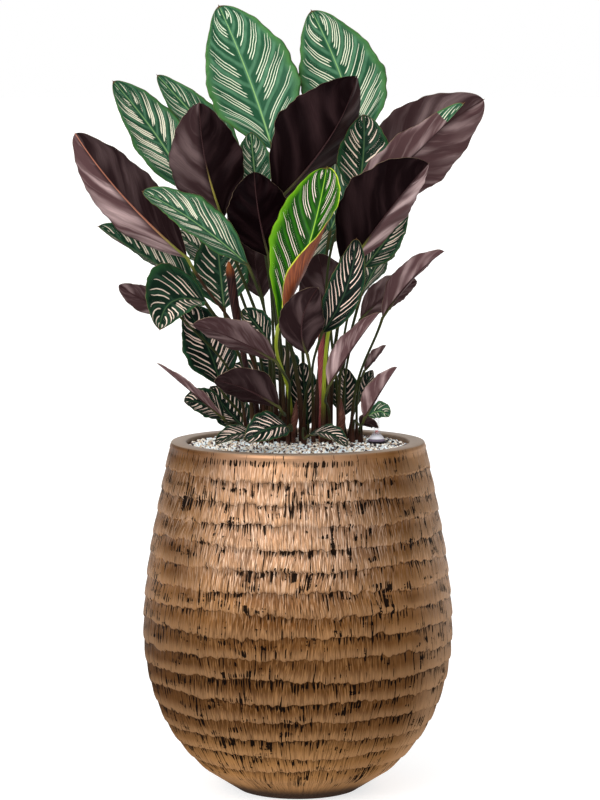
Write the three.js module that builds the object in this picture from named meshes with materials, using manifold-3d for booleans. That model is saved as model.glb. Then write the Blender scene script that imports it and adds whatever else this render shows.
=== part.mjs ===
// Potted calathea sanderiana: a tall prayer plant in a round bronze planter with a water gauge.
// Millimetres, +Z up. The origin is the centre of the planter's foot, and -Y is the front.
import * as THREE from 'three';
import * as BufferGeometryUtils from 'three/addons/utils/BufferGeometryUtils.js';
import Module from 'manifold-3d';

const wasm = await Module();
wasm.setup();

// Planter
const POT_HEIGHT = 497;
const POT_OUTLINE = [
  [84, 1], [108, 14], [150, 47], [188, 98], [212, 163], [220, 232], [214, 315], [200, 400],
  [184.5, 476], [180, 494],
];
const FOOT_RADIUS = 82;
const OPENING_RADIUS = 157;
const RIM_OUTER_RADIUS = 178;
const RIM_LIP_DEPTH = 26;
const RIM_BEVEL = 4;
const POT_WALL = 13;
const POT_FLOOR = 14;
const FIRST_BAND_BELOW_RIM = 32;
const BAND_PITCH = 30.5;
const BAND_COUNT = 16;
const BAND_STEP = 2.4;
const BAND_NOTCH = 2;
const BAND_WAVE = 3.2;
const CAVITY_HEIGHTS = [POT_FLOOR, 50, 105, 190, 300, POT_HEIGHT - RIM_LIP_DEPTH];
const POT_SIDES = 36;

// Granulate in the planter
const GRAVEL_TOP = 489;
const GRAVEL_RELIEF = 2;
const GRAVEL_SPACING = 17;
const GRAVEL_JITTER = 3;
const FIT_GAP = 0.3;

// Water gauge
const GAUGE_PLACE = [112, 30];
const GAUGE_BOTTOM = 70;
const GAUGE_TUBE_RADIUS = 11.5;
const GAUGE_RING_RADIUS = 14.5;
const GAUGE_RING_TOP = 493;
const GAUGE_BORE = 7.5;
const STOP_BORE = 3.5;
const SIGHT_TUBE_RADIUS = 5.6;
const SIGHT_TUBE_TOP = 556;
const SIGHT_TUBE_WALL = 2;
const SIGHT_BORE = 3.8;
const CONE_HEIGHT = 10;
const FLOAT_BOTTOM = 90;
const FLOAT_TOP = 158;
const FLOAT_RADIUS = 6;
const ROD_RADIUS = 1.2;
const TIP_RADIUS = 2.3;
const TIP_BOTTOM = 502;
const TIP_TOP = 509;
const GAUGE_SIDES = 12;

// Clump of stalks: its roots are given from its centre, and drawn together from front to back
const CLUMP_CENTRE = [0, 38];
const CLUMP_DEPTH = 0.6;
const STALK_DEPTH = 24;
const STALK_FOOT_RISE = 6;
const HOLE_CLEARANCE = 1.1;
const STALK_SIDES = 6;
const STALK_UPRIGHT_SHARE = 0.5;
const STALK_ARRIVAL_SHARE = 0.28;
const STALK_ARRIVAL_LIFT = 0.9;
const FOOT_SWELL = 0.9;
const NECK_SWELL = 0.25;

// Leaves
const BLADE_THICKNESS = 1;
const SPINE_STEPS = 24;
const FULLEST_AT = 0.46;
const OPENING_FULLEST_AT = 0.55;
const TIP_ROUNDING = 0.42;
const WAVES_ALONG_MARGIN = 3;
const RIB_TAPER = 1.5;
const UNROLLING = 3;
const ROLL_START = 0.2;
const LARGE_LEAF = 84;

const FINISH = {
  bronze: { color: 0x9a7040, roughness: 0.42, metalness: 0.75 },
  gravel: { color: 0xb9b0a2, roughness: 0.9, metalness: 0 },
  darkPlastic: { color: 0x3c3440, roughness: 0.4, metalness: 0 },
  clearPlastic: { color: 0xdfe3e6, roughness: 0.15, metalness: 0 },
  redPlastic: { color: 0xc8321e, roughness: 0.4, metalness: 0 },
  greenLeaf: { color: 0x2f5b45, roughness: 0.5, metalness: 0 },
  darkLeaf: { color: 0x3b2529, roughness: 0.55, metalness: 0 },
  freshLeaf: { color: 0x5c9a1e, roughness: 0.4, metalness: 0 },
};

const group = new THREE.Group();

function addPart(name, geometry, finish) {
  const mesh = new THREE.Mesh(geometry, new THREE.MeshStandardMaterial(FINISH[finish]));
  mesh.name = name;
  group.add(mesh);
  return mesh;
}

// Repeatable random draws between 0 and 1
function seededRandom(seed) {
  let state = seed;
  return () => {
    state = (state * 1664525 + 1013904223) % 4294967296;
    return state / 4294967296;
  };
}

// Shared vertices only, with the faces turned outward
function closed(geometry) {
  geometry.deleteAttribute('normal');
  geometry.deleteAttribute('uv');
  const merged = BufferGeometryUtils.mergeVertices(geometry, 1e-4);
  const place = merged.attributes.position;
  const kept = [];
  let volume = 0;
  const a = new THREE.Vector3();
  const b = new THREE.Vector3();
  const c = new THREE.Vector3();
  for (let i = 0; i < merged.index.count; i += 3) {
    const corners = [0, 1, 2].map((k) => merged.index.getX(i + k));
    if (new Set(corners).size < 3) continue;
    kept.push(corners);
    a.fromBufferAttribute(place, corners[0]);
    b.fromBufferAttribute(place, corners[1]);
    c.fromBufferAttribute(place, corners[2]);
    volume += a.dot(b.cross(c));
  }
  merged.setIndex(kept.flatMap((corners) => (volume < 0 ? corners.reverse() : corners)));
  return merged;
}

function toSolid(geometry) {
  const mesh = closed(geometry);
  return new wasm.Manifold(new wasm.Mesh({
    numProp: 3,
    vertProperties: new Float32Array(mesh.attributes.position.array),
    triVerts: new Uint32Array(mesh.index.array),
  }));
}

function fromSolid(solid) {
  const mesh = solid.getMesh();
  const geometry = new THREE.BufferGeometry();
  geometry.setAttribute('position', new THREE.BufferAttribute(new Float32Array(mesh.vertProperties), 3));
  geometry.setIndex(Array.from(mesh.triVerts));
  return geometry;
}

// A profile of [radius, height] pairs turned about the Z axis
function turned(profile, sides) {
  const geometry = new THREE.LatheGeometry(profile.map(([r, z]) => new THREE.Vector2(r, z)), sides);
  geometry.rotateX(Math.PI / 2);
  return geometry;
}

// Planter: the outline from foot to rim, measured along its length
const potOutline = new THREE.SplineCurve(POT_OUTLINE.map(([r, z]) => new THREE.Vector2(r, z)));
const outlineLength = potOutline.getLength();

function outlinePoint(belowRim, inward) {
  const share = THREE.MathUtils.clamp(1 - belowRim / outlineLength, 0, 1);
  const point = potOutline.getPointAt(share);
  const along = potOutline.getTangentAt(share);
  return [point.x - along.y * inward, point.y + along.x * inward];
}

function cavityRadius(z) {
  let low = 0;
  let high = outlineLength;
  for (let i = 0; i < 30; i += 1) {
    const middle = (low + high) / 2;
    if (outlinePoint(middle, POT_WALL)[1] > z) low = middle;
    else high = middle;
  }
  return outlinePoint(low, POT_WALL)[0];
}

// Each band swells out to its lower lip, and the next one starts a step further in
function bandPoint(band, stepIn, wander) {
  const lip = FIRST_BAND_BELOW_RIM + band * BAND_PITCH + wander;
  return stepIn ? outlinePoint(lip + BAND_NOTCH, BAND_STEP) : outlinePoint(lip, 0);
}

function potProfile() {
  const outside = [[0, 0], [FOOT_RADIUS, 0], outlinePoint(outlineLength, 0)];
  const firstBandPoint = outside.length;
  for (let band = BAND_COUNT - 1; band >= 0; band -= 1) {
    outside.push(bandPoint(band, true, 0), bandPoint(band, false, 0));
  }
  outside.push(outlinePoint(RIM_BEVEL, 0), [RIM_OUTER_RADIUS, POT_HEIGHT]);
  const lip = [[OPENING_RADIUS + RIM_BEVEL / 2, POT_HEIGHT], [OPENING_RADIUS, POT_HEIGHT - RIM_BEVEL / 2]];
  lip.push([OPENING_RADIUS, POT_HEIGHT - RIM_LIP_DEPTH]);
  const inside = CAVITY_HEIGHTS.toReversed().map((z) => [cavityRadius(z), z]);
  return { points: [...outside, ...lip, ...inside, [0, POT_FLOOR]], firstBandPoint };
}

// The lips of the bands wander up and down round the planter, each in its own way
function bandWander(angle, band) {
  return BAND_WAVE * (Math.sin(3 * angle + 1.9 * band) * 0.6 + Math.sin(5 * angle - 2.7 * band) * 0.4);
}

function makePot() {
  const { points, firstBandPoint } = potProfile();
  const geometry = turned(points, POT_SIDES);
  const place = geometry.attributes.position;
  for (let i = 0; i < place.count; i += 1) {
    const row = (i % points.length) - firstBandPoint;
    if (row < 0 || row >= BAND_COUNT * 2) continue;
    const angle = Math.atan2(place.getY(i), place.getX(i));
    const band = BAND_COUNT - 1 - Math.floor(row / 2);
    const [radius, height] = bandPoint(band, row % 2 === 0, bandWander(angle, band));
    place.setXYZ(i, radius * Math.cos(angle), radius * Math.sin(angle), height);
  }
  return closed(geometry);
}

addPart('pot', makePot(), 'bronze');

// Gravel relief: a lattice of points over a plain floor, of which every third stands up as a stone
function gravelBlock() {
  const random = seededRandom(41);
  const rowStep = GRAVEL_SPACING * Math.sqrt(0.75);
  const count = 2 * Math.ceil((OPENING_RADIUS * 1.5) / GRAVEL_SPACING);
  const corners = [];
  for (let row = 0; row <= count; row += 1) {
    for (let column = 0; column <= count; column += 1) {
      const isStone = (column + row) % 3 === 0;
      const x = (column - count / 2 + (row % 2) / 2) * GRAVEL_SPACING + (random() - 0.5) * GRAVEL_JITTER;
      const y = (row - count / 2) * rowStep + (random() - 0.5) * GRAVEL_JITTER;
      const rise = (isStone ? 1 : -0.6) * GRAVEL_RELIEF + random() - 0.5;
      corners.push([x, y, GRAVEL_TOP + rise], [x, y, 0]);
    }
  }
  const corner = (row, column, low) => (row * (count + 1) + column) * 2 + low;
  const faces = [];
  const quad = (a, b, c, d) => faces.push(a, b, c, a, c, d);
  for (let i = 0; i < count; i += 1) {
    for (let k = 0; k < count; k += 1) {
      for (const low of [0, 1]) {
        const ring = [[i, k], [i, k + 1], [i + 1, k + 1], [i + 1, k]].map(([r, c]) => corner(r, c, low));
        if (low) ring.reverse();
        if (i % 2 === low) quad(...ring);
        else quad(ring[1], ring[2], ring[3], ring[0]);
      }
    }
    quad(corner(i, 0, 0), corner(i + 1, 0, 0), corner(i + 1, 0, 1), corner(i, 0, 1));
    quad(corner(i + 1, count, 0), corner(i, count, 0), corner(i, count, 1), corner(i + 1, count, 1));
    quad(corner(0, i + 1, 0), corner(0, i, 0), corner(0, i, 1), corner(0, i + 1, 1));
    quad(corner(count, i, 0), corner(count, i + 1, 0), corner(count, i + 1, 1), corner(count, i, 1));
  }
  const geometry = new THREE.BufferGeometry();
  geometry.setAttribute('position', new THREE.Float32BufferAttribute(corners.flat(), 3));
  geometry.setIndex(faces);
  return geometry;
}

function makeSubstrate(stalks) {
  const wall = CAVITY_HEIGHTS.map((z) => [cavityRadius(z) - FIT_GAP, z]);
  const [floor, shoulder] = [wall[0], wall[wall.length - 1]];
  floor[1] += FIT_GAP;
  shoulder[1] -= FIT_GAP;
  const neck = OPENING_RADIUS - FIT_GAP;
  const above = [[neck, shoulder[1]], [neck, POT_HEIGHT], [0, POT_HEIGHT]];
  const fill = turned([[0, floor[1]], ...wall, ...above], POT_SIDES);
  let solid = toSolid(fill).intersect(toSolid(gravelBlock()));
  const holeHeight = 2 * STALK_DEPTH;
  for (const { root, footRadius } of stalks) {
    const radius = footRadius + HOLE_CLEARANCE;
    const hole = new THREE.CylinderGeometry(radius, radius, holeHeight, STALK_SIDES);
    hole.rotateX(Math.PI / 2);
    hole.translate(root[0], root[1], GRAVEL_TOP - STALK_DEPTH - FIT_GAP + holeHeight / 2);
    solid = solid.subtract(toSolid(hole));
  }
  const tubeWell = GAUGE_TUBE_RADIUS + FIT_GAP;
  const ringWell = GAUGE_RING_RADIUS + FIT_GAP;
  const well = turned([
    [0, GAUGE_BOTTOM - FIT_GAP], [tubeWell, GAUGE_BOTTOM - FIT_GAP], [tubeWell, GRAVEL_TOP - GRAVEL_RELIEF],
    [ringWell, GRAVEL_TOP - GRAVEL_RELIEF], [ringWell, 2 * GRAVEL_TOP], [0, 2 * GRAVEL_TOP],
  ], GAUGE_SIDES);
  well.translate(...GAUGE_PLACE, 0);
  return fromSolid(solid.subtract(toSolid(well)));
}

// Water gauge: a dark housing with a dip tube and a stop at its foot
function gaugeHousing() {
  const stopTop = FLOAT_BOTTOM - FIT_GAP;
  return turned([
    [STOP_BORE, GAUGE_BOTTOM], [GAUGE_TUBE_RADIUS, GAUGE_BOTTOM], [GAUGE_TUBE_RADIUS, GRAVEL_TOP],
    [GAUGE_RING_RADIUS - 0.5, GRAVEL_TOP], [GAUGE_RING_RADIUS, GAUGE_RING_TOP - 1],
    [GAUGE_RING_RADIUS - 1.5, GAUGE_RING_TOP], [GAUGE_BORE, GAUGE_RING_TOP], [GAUGE_BORE, stopTop],
    [STOP_BORE, stopTop], [STOP_BORE, GAUGE_BOTTOM],
  ], GAUGE_SIDES);
}

// Its clear tube stands on a cone and is closed at the top
function gaugeSightTube() {
  const base = GAUGE_RING_TOP + FIT_GAP;
  const ceiling = SIGHT_TUBE_TOP - SIGHT_TUBE_WALL;
  return turned([
    [SIGHT_BORE, base], [GAUGE_RING_RADIUS - 2, base], [GAUGE_RING_RADIUS - 3, base + 2],
    [SIGHT_TUBE_RADIUS + 0.8, base + CONE_HEIGHT], [SIGHT_TUBE_RADIUS, base + CONE_HEIGHT + 3],
    [SIGHT_TUBE_RADIUS, SIGHT_TUBE_TOP - 1.5], [SIGHT_TUBE_RADIUS - 1.5, SIGHT_TUBE_TOP],
    [0, SIGHT_TUBE_TOP], [0, ceiling], [SIGHT_BORE, ceiling], [SIGHT_BORE, base],
  ], GAUGE_SIDES);
}

// Its float carries a thin rod with a red tip, and rises and sinks with the water
function gaugeFloat() {
  return turned([
    [0, FLOAT_BOTTOM], [FLOAT_RADIUS - 1, FLOAT_BOTTOM + 2], [FLOAT_RADIUS, FLOAT_BOTTOM + 6],
    [FLOAT_RADIUS, FLOAT_TOP - 8], [FLOAT_RADIUS - 2, FLOAT_TOP - 2], [ROD_RADIUS, FLOAT_TOP],
    [ROD_RADIUS, TIP_BOTTOM], [TIP_RADIUS, TIP_BOTTOM + 2], [TIP_RADIUS, TIP_TOP - 3],
    [TIP_RADIUS - 1, TIP_TOP - 0.5], [0, TIP_TOP],
  ], GAUGE_SIDES);
}

function addGauge() {
  const pieces = [
    ['gauge_housing', gaugeHousing(), 'darkPlastic'],
    ['gauge_sight_tube', gaugeSightTube(), 'clearPlastic'],
    ['gauge_float', gaugeFloat(), 'redPlastic'],
  ];
  for (const [name, geometry, finish] of pieces) {
    geometry.translate(...GAUGE_PLACE, 0);
    addPart(name, closed(geometry), finish);
  }
}

addGauge();

// Leaves. Columns: name, root of the stalk from the clump's centre [x, y], then base, middle and
// tip of the midrib, width, where the upper side looks [degrees from the front to the right,
// degrees up], fold of each half, further curl to its edge, wave of the edge, and how far the
// right half of an opening leaf is still rolled in.
const LEAVES = [
  ['top_left', [-14, 42], [-36, 55, 906], [-70, 60, 1009], [-112, 34, 1110], 138, [8, 12], 10, 10, 3],
  ['top_right', [26, 52], [86, 84, 917], [62, 90, 1008], [18, 62, 1104], 128, [-6, 12], 10, 10, 3],
  ['centre_dark', [6, 12], [-34, -24, 832], [44, -36, 924], [82, -24, 1011], 152, [-150, 20], 28, 6, 2],
  ['left_upright', [-30, 14], [-104, -42, 812], [-128, -58, 894], [-136, -52, 974], 108, [180, 15], 12, 8, 3],
  ['centre_small', [-20, 2], [-40, -62, 760], [-54, -78, 821], [-60, -76, 879], 94, [180, 20], 10, 8, 2],
  ['left_long', [-46, 4], [-153, -70, 759], [-241, -92, 846], [-306, -98, 933], 92, [180, 20], 15, 8, 3],
  ['right_small_green', [34, 26], [84, 22, 844], [92, 12, 901], [92, 6, 957], 84, [5, 10], 20, 8, 2],
  ['right_far', [46, 34], [106, 34, 838], [174, 48, 913], [264, 36, 978], 124, [180, 15], 8, 8, 3],
  ['right_folded', [44, 4], [74, -30, 836], [152, -38, 892], [232, -40, 974], 74, [-130, 45], 50, 5, 2],
  ['right_low_dark', [36, -6], [64, -84, 741], [126, -104, 827], [180, -100, 891], 132, [-150, 20], 28, 5, 2],
  ['front_striped', [22, -14], [33, -128, 659], [66, -142, 721], [80, -134, 790], 56, [-5, 10], 25, 8, 2],
  ['new_fresh', [-8, -12], [-27, -118, 667], [14, -152, 777], [40, -112, 887], 108, [-22, 5], 20, 14, 1, 220],
  ['left_striped', [-40, -10], [-68, -118, 751], [-140, -138, 811], [-212, -148, 854], 76, [0, 50], 14, 8, 2],
  ['left_back_green', [-50, 36], [-152, 45, 844], [-199, 55, 924], [-262, 40, 1004], 80, [10, 15], 10, 8, 3],
  ['left_back_far', [-34, 60], [-80, 96, 885], [-136, 105, 941], [-202, 92, 1013], 62, [0, 20], 8, 8, 3],
  ['centre_back', [-22, 30], [-56, 18, 839], [-62, 24, 886], [-66, 18, 932], 56, [0, 10], 10, 8, 2],
  ['left_hooked', [-62, 16], [-140, -22, 712], [-208, -42, 756], [-278, -60, 803], 78, [-10, 55], 30, 8, 2],
  ['left_cup', [-64, -4], [-128, -62, 696], [-173, -100, 700], [-188, -148, 664], 108, [0, 30], 28, 12, 3],
  ['left_low_dark', [-74, 12], [-172, -20, 682], [-215, -30, 698], [-250, -36, 720], 40, [180, 10], 15, 5, 1],
  ['front_left_dark', [-14, -22], [-30, -148, 623], [-88, -168, 655], [-143, -178, 675], 60, [170, 40], 15, 8, 2],
  ['front_left_low', [-28, -24], [-26, -118, 557], [-72, -140, 584], [-114, -158, 597], 66, [175, 35], 15, 8, 2],
  ['front_dark', [8, -24], [13, -152, 632], [6, -176, 679], [28, -178, 725], 66, [180, 15], 14, 8, 2],
  ['back_low_dark', [-4, 84], [-8, 112, 565], [-28, 134, 595], [-52, 142, 617], 58, [0, 30], 12, 8, 2],
  ['left_low_green', [-72, 36], [-110, 40, 571], [-130, 42, 631], [-160, 32, 686], 84, [20, 8], 10, 8, 3],
  ['left_edge_on', [-86, -8], [-105, -52, 536], [-150, -66, 575], [-196, -74, 614], 44, [114, 51], 14, 5, 1],
  ['left_lowest', [-96, 14], [-104, -14, 530], [-132, -24, 551], [-160, -30, 556], 52, [-10, 45], 12, 5, 1],
  ['front_lowest', [-14, -62], [-14, -100, 527], [-40, -122, 527], [-72, -134, 510], 56, [0, 45], 12, 8, 1],
  ['front_left_lowest', [-52, -52], [-56, -84, 513], [-84, -104, 517], [-114, -116, 505], 42, [-10, 60], 12, 5, 1],
  ['front_right_lowest', [10, -64], [14, -98, 515], [42, -118, 519], [68, -134, 503], 38, [10, 60], 14, 5, 1],
  ['right_narrow', [76, -2], [118, -42, 674], [158, -52, 728], [204, -52, 768], 50, [-150, 30], 40, 5, 2],
  ['right_behind', [64, 20], [88, 12, 668], [128, 6, 704], [168, -4, 723], 50, [170, 30], 15, 5, 2],
  ['front_right_folded', [46, -34], [42, -122, 585], [72, -138, 635], [112, -140, 689], 46, [-130, 35], 55, 5, 1],
  ['right_low_folded', [78, -34], [92, -98, 539], [112, -110, 574], [137, -112, 612], 42, [-130, 30], 50, 5, 1],
  ['right_tiny', [84, 30], [94, 8, 596], [110, 2, 614], [124, -2, 633], 26, [-140, 30], 30, 5, 1],
  ['right_low_green', [90, 0], [98, -18, 532], [114, -26, 541], [128, -32, 534], 34, [20, 40], 10, 5, 1],
  ['right_lowest', [88, -14], [88, -22, 521], [98, -34, 526], [113, -40, 519], 28, [170, 40], 10, 5, 1],
  ['right_under', [58, 2], [92, -34, 744], [122, -40, 782], [152, -36, 828], 46, [10, 20], 12, 8, 2],
  ['centre_low_green', [-38, -33], [-40, -84, 643], [-58, -96, 669], [-77, -102, 690], 44, [0, 40], 12, 5, 1],
  ['left_middle', [-54, 24], [-104, 20, 682], [-110, 26, 738], [-116, 20, 801], 84, [5, 10], 10, 8, 2],
  ['centre_shaded', [-30, 40], [-50, 36, 696], [-60, 33, 746], [-64, 27, 796], 62, [180, 10], 12, 8, 2],
  ['centre_low_back', [14, 66], [15, 79, 510], [10, 79, 555], [7, 78, 603], 50, [0, 4], 12, 5, 1],
  ['centre_small_back', [58, 34], [46, 24, 656], [38, 20, 708], [30, 16, 762], 84, [170, 8], 12, 8, 2],
  ['right_low_back', [68, 62], [66, 70, 525], [68, 72, 560], [68, 68, 595], 44, [0, 8], 12, 5, 1],
  ['back_high_left', [-24, 78], [-60, 118, 795], [-105, 145, 860], [-150, 150, 920], 106, [25, 25], 12, 8, 3],
  ['back_high_right', [40, 74], [46, 122, 785], [76, 148, 850], [112, 150, 905], 104, [-25, 25], 12, 8, 3],
  ['back_centre', [10, 86], [5, 120, 725], [8, 168, 790], [0, 185, 855], 108, [0, 30], 14, 8, 3],
  ['back_left', [-44, 74], [-85, 105, 705], [-132, 138, 750], [-180, 150, 785], 86, [45, 30], 12, 8, 3],
  ['back_right', [58, 78], [90, 100, 695], [118, 132, 745], [140, 140, 790], 84, [-50, 30], 12, 8, 3],
  ['back_low_left', [-62, 58], [-72, 66, 505], [-100, 78, 531], [-126, 86, 567], 62, [20, 35], 12, 8, 2],
  ['back_low_right', [74, 58], [84, 70, 541], [98, 92, 565], [108, 98, 589], 42, [-50, 35], 12, 5, 1],
  ['back_lowest', [-22, 100], [-40, 140, 545], [-66, 160, 571], [-100, 168, 585], 56, [0, 35], 12, 8, 2],
];
// Spears are leaves still rolled up. Columns: name, root, base, middle, tip, thickness.
const SPEARS = [
  ['brown', [-56, -22], [-70, -66, 597], [-84, -70, 675], [-96, -72, 755], 13],
  ['pink', [32, 10], [33, 40, 554], [33, 34, 606], [34, 30, 652], 11],
  ['low_left', [-6, -34], [-6, 10, 509], [-4, 8, 531], [-2, 6, 555], 12],
  ['low_right', [62, -30], [62, 14, 509], [62, 12, 531], [61, 10, 557], 13],
];

const at = (point) => new THREE.Vector3(...point);
const inClump = ([x, y]) => [CLUMP_CENTRE[0] + x, CLUMP_CENTRE[1] + CLUMP_DEPTH * y];

// The part of a direction that is square to another
function squareTo(direction, axis) {
  return direction.clone().addScaledVector(axis, -direction.dot(axis)).normalize();
}

function facing([turn, up]) {
  const t = THREE.MathUtils.degToRad(turn);
  const u = THREE.MathUtils.degToRad(up);
  return new THREE.Vector3(Math.sin(t) * Math.cos(u), -Math.cos(t) * Math.cos(u), Math.sin(u));
}

function stepsAlong(curve) {
  const steps = [];
  for (let i = 0; i <= SPINE_STEPS; i += 1) {
    steps.push({ place: curve.getPoint(i / SPINE_STEPS), along: curve.getTangent(i / SPINE_STEPS) });
  }
  return steps;
}

// Midrib: a smooth bend through the middle point, with the upper side's direction at each step
function midrib(base, middle, tip, face) {
  const bend = at(middle).multiplyScalar(2).addScaledVector(at(base), -0.5).addScaledVector(at(tip), -0.5);
  const steps = stepsAlong(new THREE.QuadraticBezierCurve3(at(base), bend, at(tip)));
  const half = SPINE_STEPS / 2;
  steps[half].up = squareTo(facing(face), steps[half].along);
  for (let i = half + 1; i <= SPINE_STEPS; i += 1) steps[i].up = squareTo(steps[i - 1].up, steps[i].along);
  for (let i = half - 1; i >= 0; i -= 1) steps[i].up = squareTo(steps[i + 1].up, steps[i].along);
  return steps;
}

// Stalk: straight up out of the gravel for half its reach, then bending over into the blade
function stalk([x, y], blade) {
  const foot = new THREE.Vector3(x, y, GRAVEL_TOP + STALK_FOOT_RISE);
  const reach = foot.distanceTo(blade.place);
  const risen = foot.clone().setZ(foot.z + STALK_UPRIGHT_SHARE * reach);
  const arrival = blade.along.clone().setZ(blade.along.z + STALK_ARRIVAL_LIFT).normalize();
  const before = blade.place.clone().addScaledVector(arrival, -STALK_ARRIVAL_SHARE * reach);
  const steps = stepsAlong(new THREE.CubicBezierCurve3(foot, risen, before, blade.place));
  let up = blade.up;
  for (let i = SPINE_STEPS; i >= 0; i -= 1) {
    up = squareTo(up, steps[i].along);
    steps[i].up = up;
  }
  return steps;
}

// Points round a blade: the top from the left edge to the right, then the underside back
const PLAIN_COLUMNS = [-1, -0.5, 0, 0.5, 1];
const ROLLED_COLUMNS = [-1, -0.55, 0, 0.2, 0.4, 0.6, 0.8, 1];

function ringSlots(columns) {
  const inner = columns.slice(1, -1).reverse();
  return [...columns.map((v) => ({ v, under: false })), ...inner.map((v) => ({ v, under: true }))];
}

// One ring round the six-sided stalk, in the blade's order of points, so that the two join
function stalkRing({ place, along, up }, radius, slots) {
  const side = along.clone().cross(up);
  return slots.map(({ v, under }) => {
    const angle = THREE.MathUtils.degToRad(90 - 60 * Math.sign(v)) * (under ? -1 : 1);
    const [out, rise] = [radius * Math.cos(angle), radius * Math.sin(angle)];
    return place.clone().addScaledVector(side, out).addScaledVector(up, rise);
  });
}

// Half the blade's width at a share of its length: a slim base, and a round end with a short point
function halfWidth(share, { width, fullestAt }) {
  const stretch = Math.log(0.5) / Math.log(fullestAt);
  return (width / 2) * Math.sin(Math.PI * share ** stretch) ** (1 - TIP_ROUNDING * share);
}

// One ring round the blade, as thick everywhere as its skin is square to it. The right half of a
// rolled leaf curls over towards its base.
function bladeRing(step, share, leaf, slots) {
  const { place, along, up } = step;
  const side = along.clone().cross(up);
  const reach = halfWidth(share, leaf);
  const surface = (v, lift) => {
    const rolled = v > 0 ? leaf.roll * (1 - share * share) ** UNROLLING * Math.min(1, share / ROLL_START) : 0;
    const turn = THREE.MathUtils.degToRad(leaf.curl + rolled);
    const start = THREE.MathUtils.degToRad(leaf.fold);
    const end = start + turn * Math.abs(v);
    const out = (reach * (Math.sin(end) - Math.sin(start))) / turn;
    const rise = (reach * (Math.cos(start) - Math.cos(end))) / turn;
    const swing = Math.sin(2 * Math.PI * WAVES_ALONG_MARGIN * share + leaf.phase + 2.1 * v);
    const ripple = leaf.wave * v * v * swing * (reach / (leaf.width / 2));
    const lean = v === 0 ? 0 : end;
    return place.clone()
      .addScaledVector(side, Math.sign(v) * (out - lift * Math.sin(lean)))
      .addScaledVector(up, rise + lift * Math.cos(lean) + ripple);
  };
  const rib = BLADE_THICKNESS / 2 + leaf.stalkRadius * (1 - share) ** RIB_TAPER;
  const skin = BLADE_THICKNESS / 2;
  return slots.map(({ v, under }) => {
    if (Math.abs(v) === 1) return surface(v, 0);
    if (!under) return surface(v, skin);
    return surface(v, v === 0 ? -rib : -skin);
  });
}

// A skin over rings of points: quads are split alike on the top and the underside
function skinned(rings) {
  const points = rings.flat();
  const faces = [];
  const size = rings[0].length;
  const half = size / 2;
  for (let row = 0; row < rings.length - 1; row += 1) {
    for (let k = 0; k < size; k += 1) {
      const a = row * size + k;
      const b = row * size + ((k + 1) % size);
      const [c, d] = [b + size, a + size];
      if (k < half) faces.push(a, b, c, a, c, d);
      else faces.push(a, b, d, b, c, d);
    }
  }
  for (let k = 1; k < size - 1; k += 1) {
    faces.push(0, k + 1, k);
    const last = (rings.length - 1) * size;
    faces.push(last, last + k, last + k + 1);
  }
  const geometry = new THREE.BufferGeometry();
  geometry.setAttribute('position', new THREE.Float32BufferAttribute(points.flatMap((p) => p.toArray()), 3));
  geometry.setIndex(faces);
  return closed(geometry);
}

const LARGE_STALK_ROWS = [0, 4, 8, 12, 16, 20, 23];
const SMALL_STALK_ROWS = [0, 6, 12, 18, 23];
const LARGE_BLADE_ROWS = [1, 3, 6, 9, 12, 15, 18, 21, 23];
const SMALL_BLADE_ROWS = [2, 5, 9, 13, 17, 21];

// Stalks swell a little at the foot and where they meet the blade
function stalkRadiusAt(share, radius) {
  return radius * (1 + FOOT_SWELL * (1 - share) ** 6 + NECK_SWELL * share ** 12);
}

function buriedRing([x, y], radius, step, slots) {
  const below = { ...step, place: new THREE.Vector3(x, y, GRAVEL_TOP - STALK_DEPTH) };
  return stalkRing(below, radius, slots);
}

const stalks = [];

function addLeaf([name, offset, base, middle, tip, width, face, fold, curl, wave, roll = 0], index) {
  const root = inClump(offset);
  const leaf = {
    width, fold, curl, wave, roll, phase: 1.7 * index, stalkRadius: 1.3 + width / 110,
    fullestAt: roll ? OPENING_FULLEST_AT : FULLEST_AT,
  };
  const slots = ringSlots(roll ? ROLLED_COLUMNS : PLAIN_COLUMNS);
  const spine = midrib(base, middle, tip, face);
  const stem = stalk(root, spine[0]);
  const footRadius = stalkRadiusAt(0, leaf.stalkRadius);
  const isLarge = width > LARGE_LEAF;
  const rings = [buriedRing(root, footRadius, stem[0], slots)];
  for (const row of isLarge ? LARGE_STALK_ROWS : SMALL_STALK_ROWS) {
    rings.push(stalkRing(stem[row], stalkRadiusAt(row / SPINE_STEPS, leaf.stalkRadius), slots));
  }
  for (const row of isLarge ? LARGE_BLADE_ROWS : SMALL_BLADE_ROWS) {
    rings.push(bladeRing(spine[row], row / SPINE_STEPS, leaf, slots));
  }
  rings.push(new Array(slots.length).fill(at(tip)));
  stalks.push({ root, footRadius });
  const showsUnderside = Math.abs(face[0]) > 90;
  const plainFinish = showsUnderside ? 'darkLeaf' : 'greenLeaf';
  addPart(`leaf_${name}`, skinned(rings), roll ? 'freshLeaf' : plainFinish);
}

// A rolled leaf: its stalk widens into a slim roll that ends in a short point
function addSpear([name, offset, base, middle, tip, thickness]) {
  const root = inClump(offset);
  const slots = ringSlots(PLAIN_COLUMNS);
  const spine = midrib(base, middle, tip, [90, 0]);
  const stem = stalk(root, spine[0]);
  const radius = thickness / 2;
  const footRadius = radius / 2;
  const rings = [buriedRing(root, footRadius, stem[0], slots)];
  for (const row of SMALL_STALK_ROWS) rings.push(stalkRing(stem[row], footRadius, slots));
  for (const row of SMALL_BLADE_ROWS) {
    const swell = 0.5 + 0.5 * Math.sin((0.6 * Math.PI * row) / SPINE_STEPS);
    rings.push(stalkRing(spine[row], radius * swell, slots));
  }
  rings.push(new Array(slots.length).fill(at(tip)));
  stalks.push({ root, footRadius });
  addPart(`spear_${name}`, skinned(rings), 'darkLeaf');
}

LEAVES.forEach(addLeaf);
SPEARS.forEach(addSpear);
addPart('substrate', makeSubstrate(stalks), 'gravel');

export default group;
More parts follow.
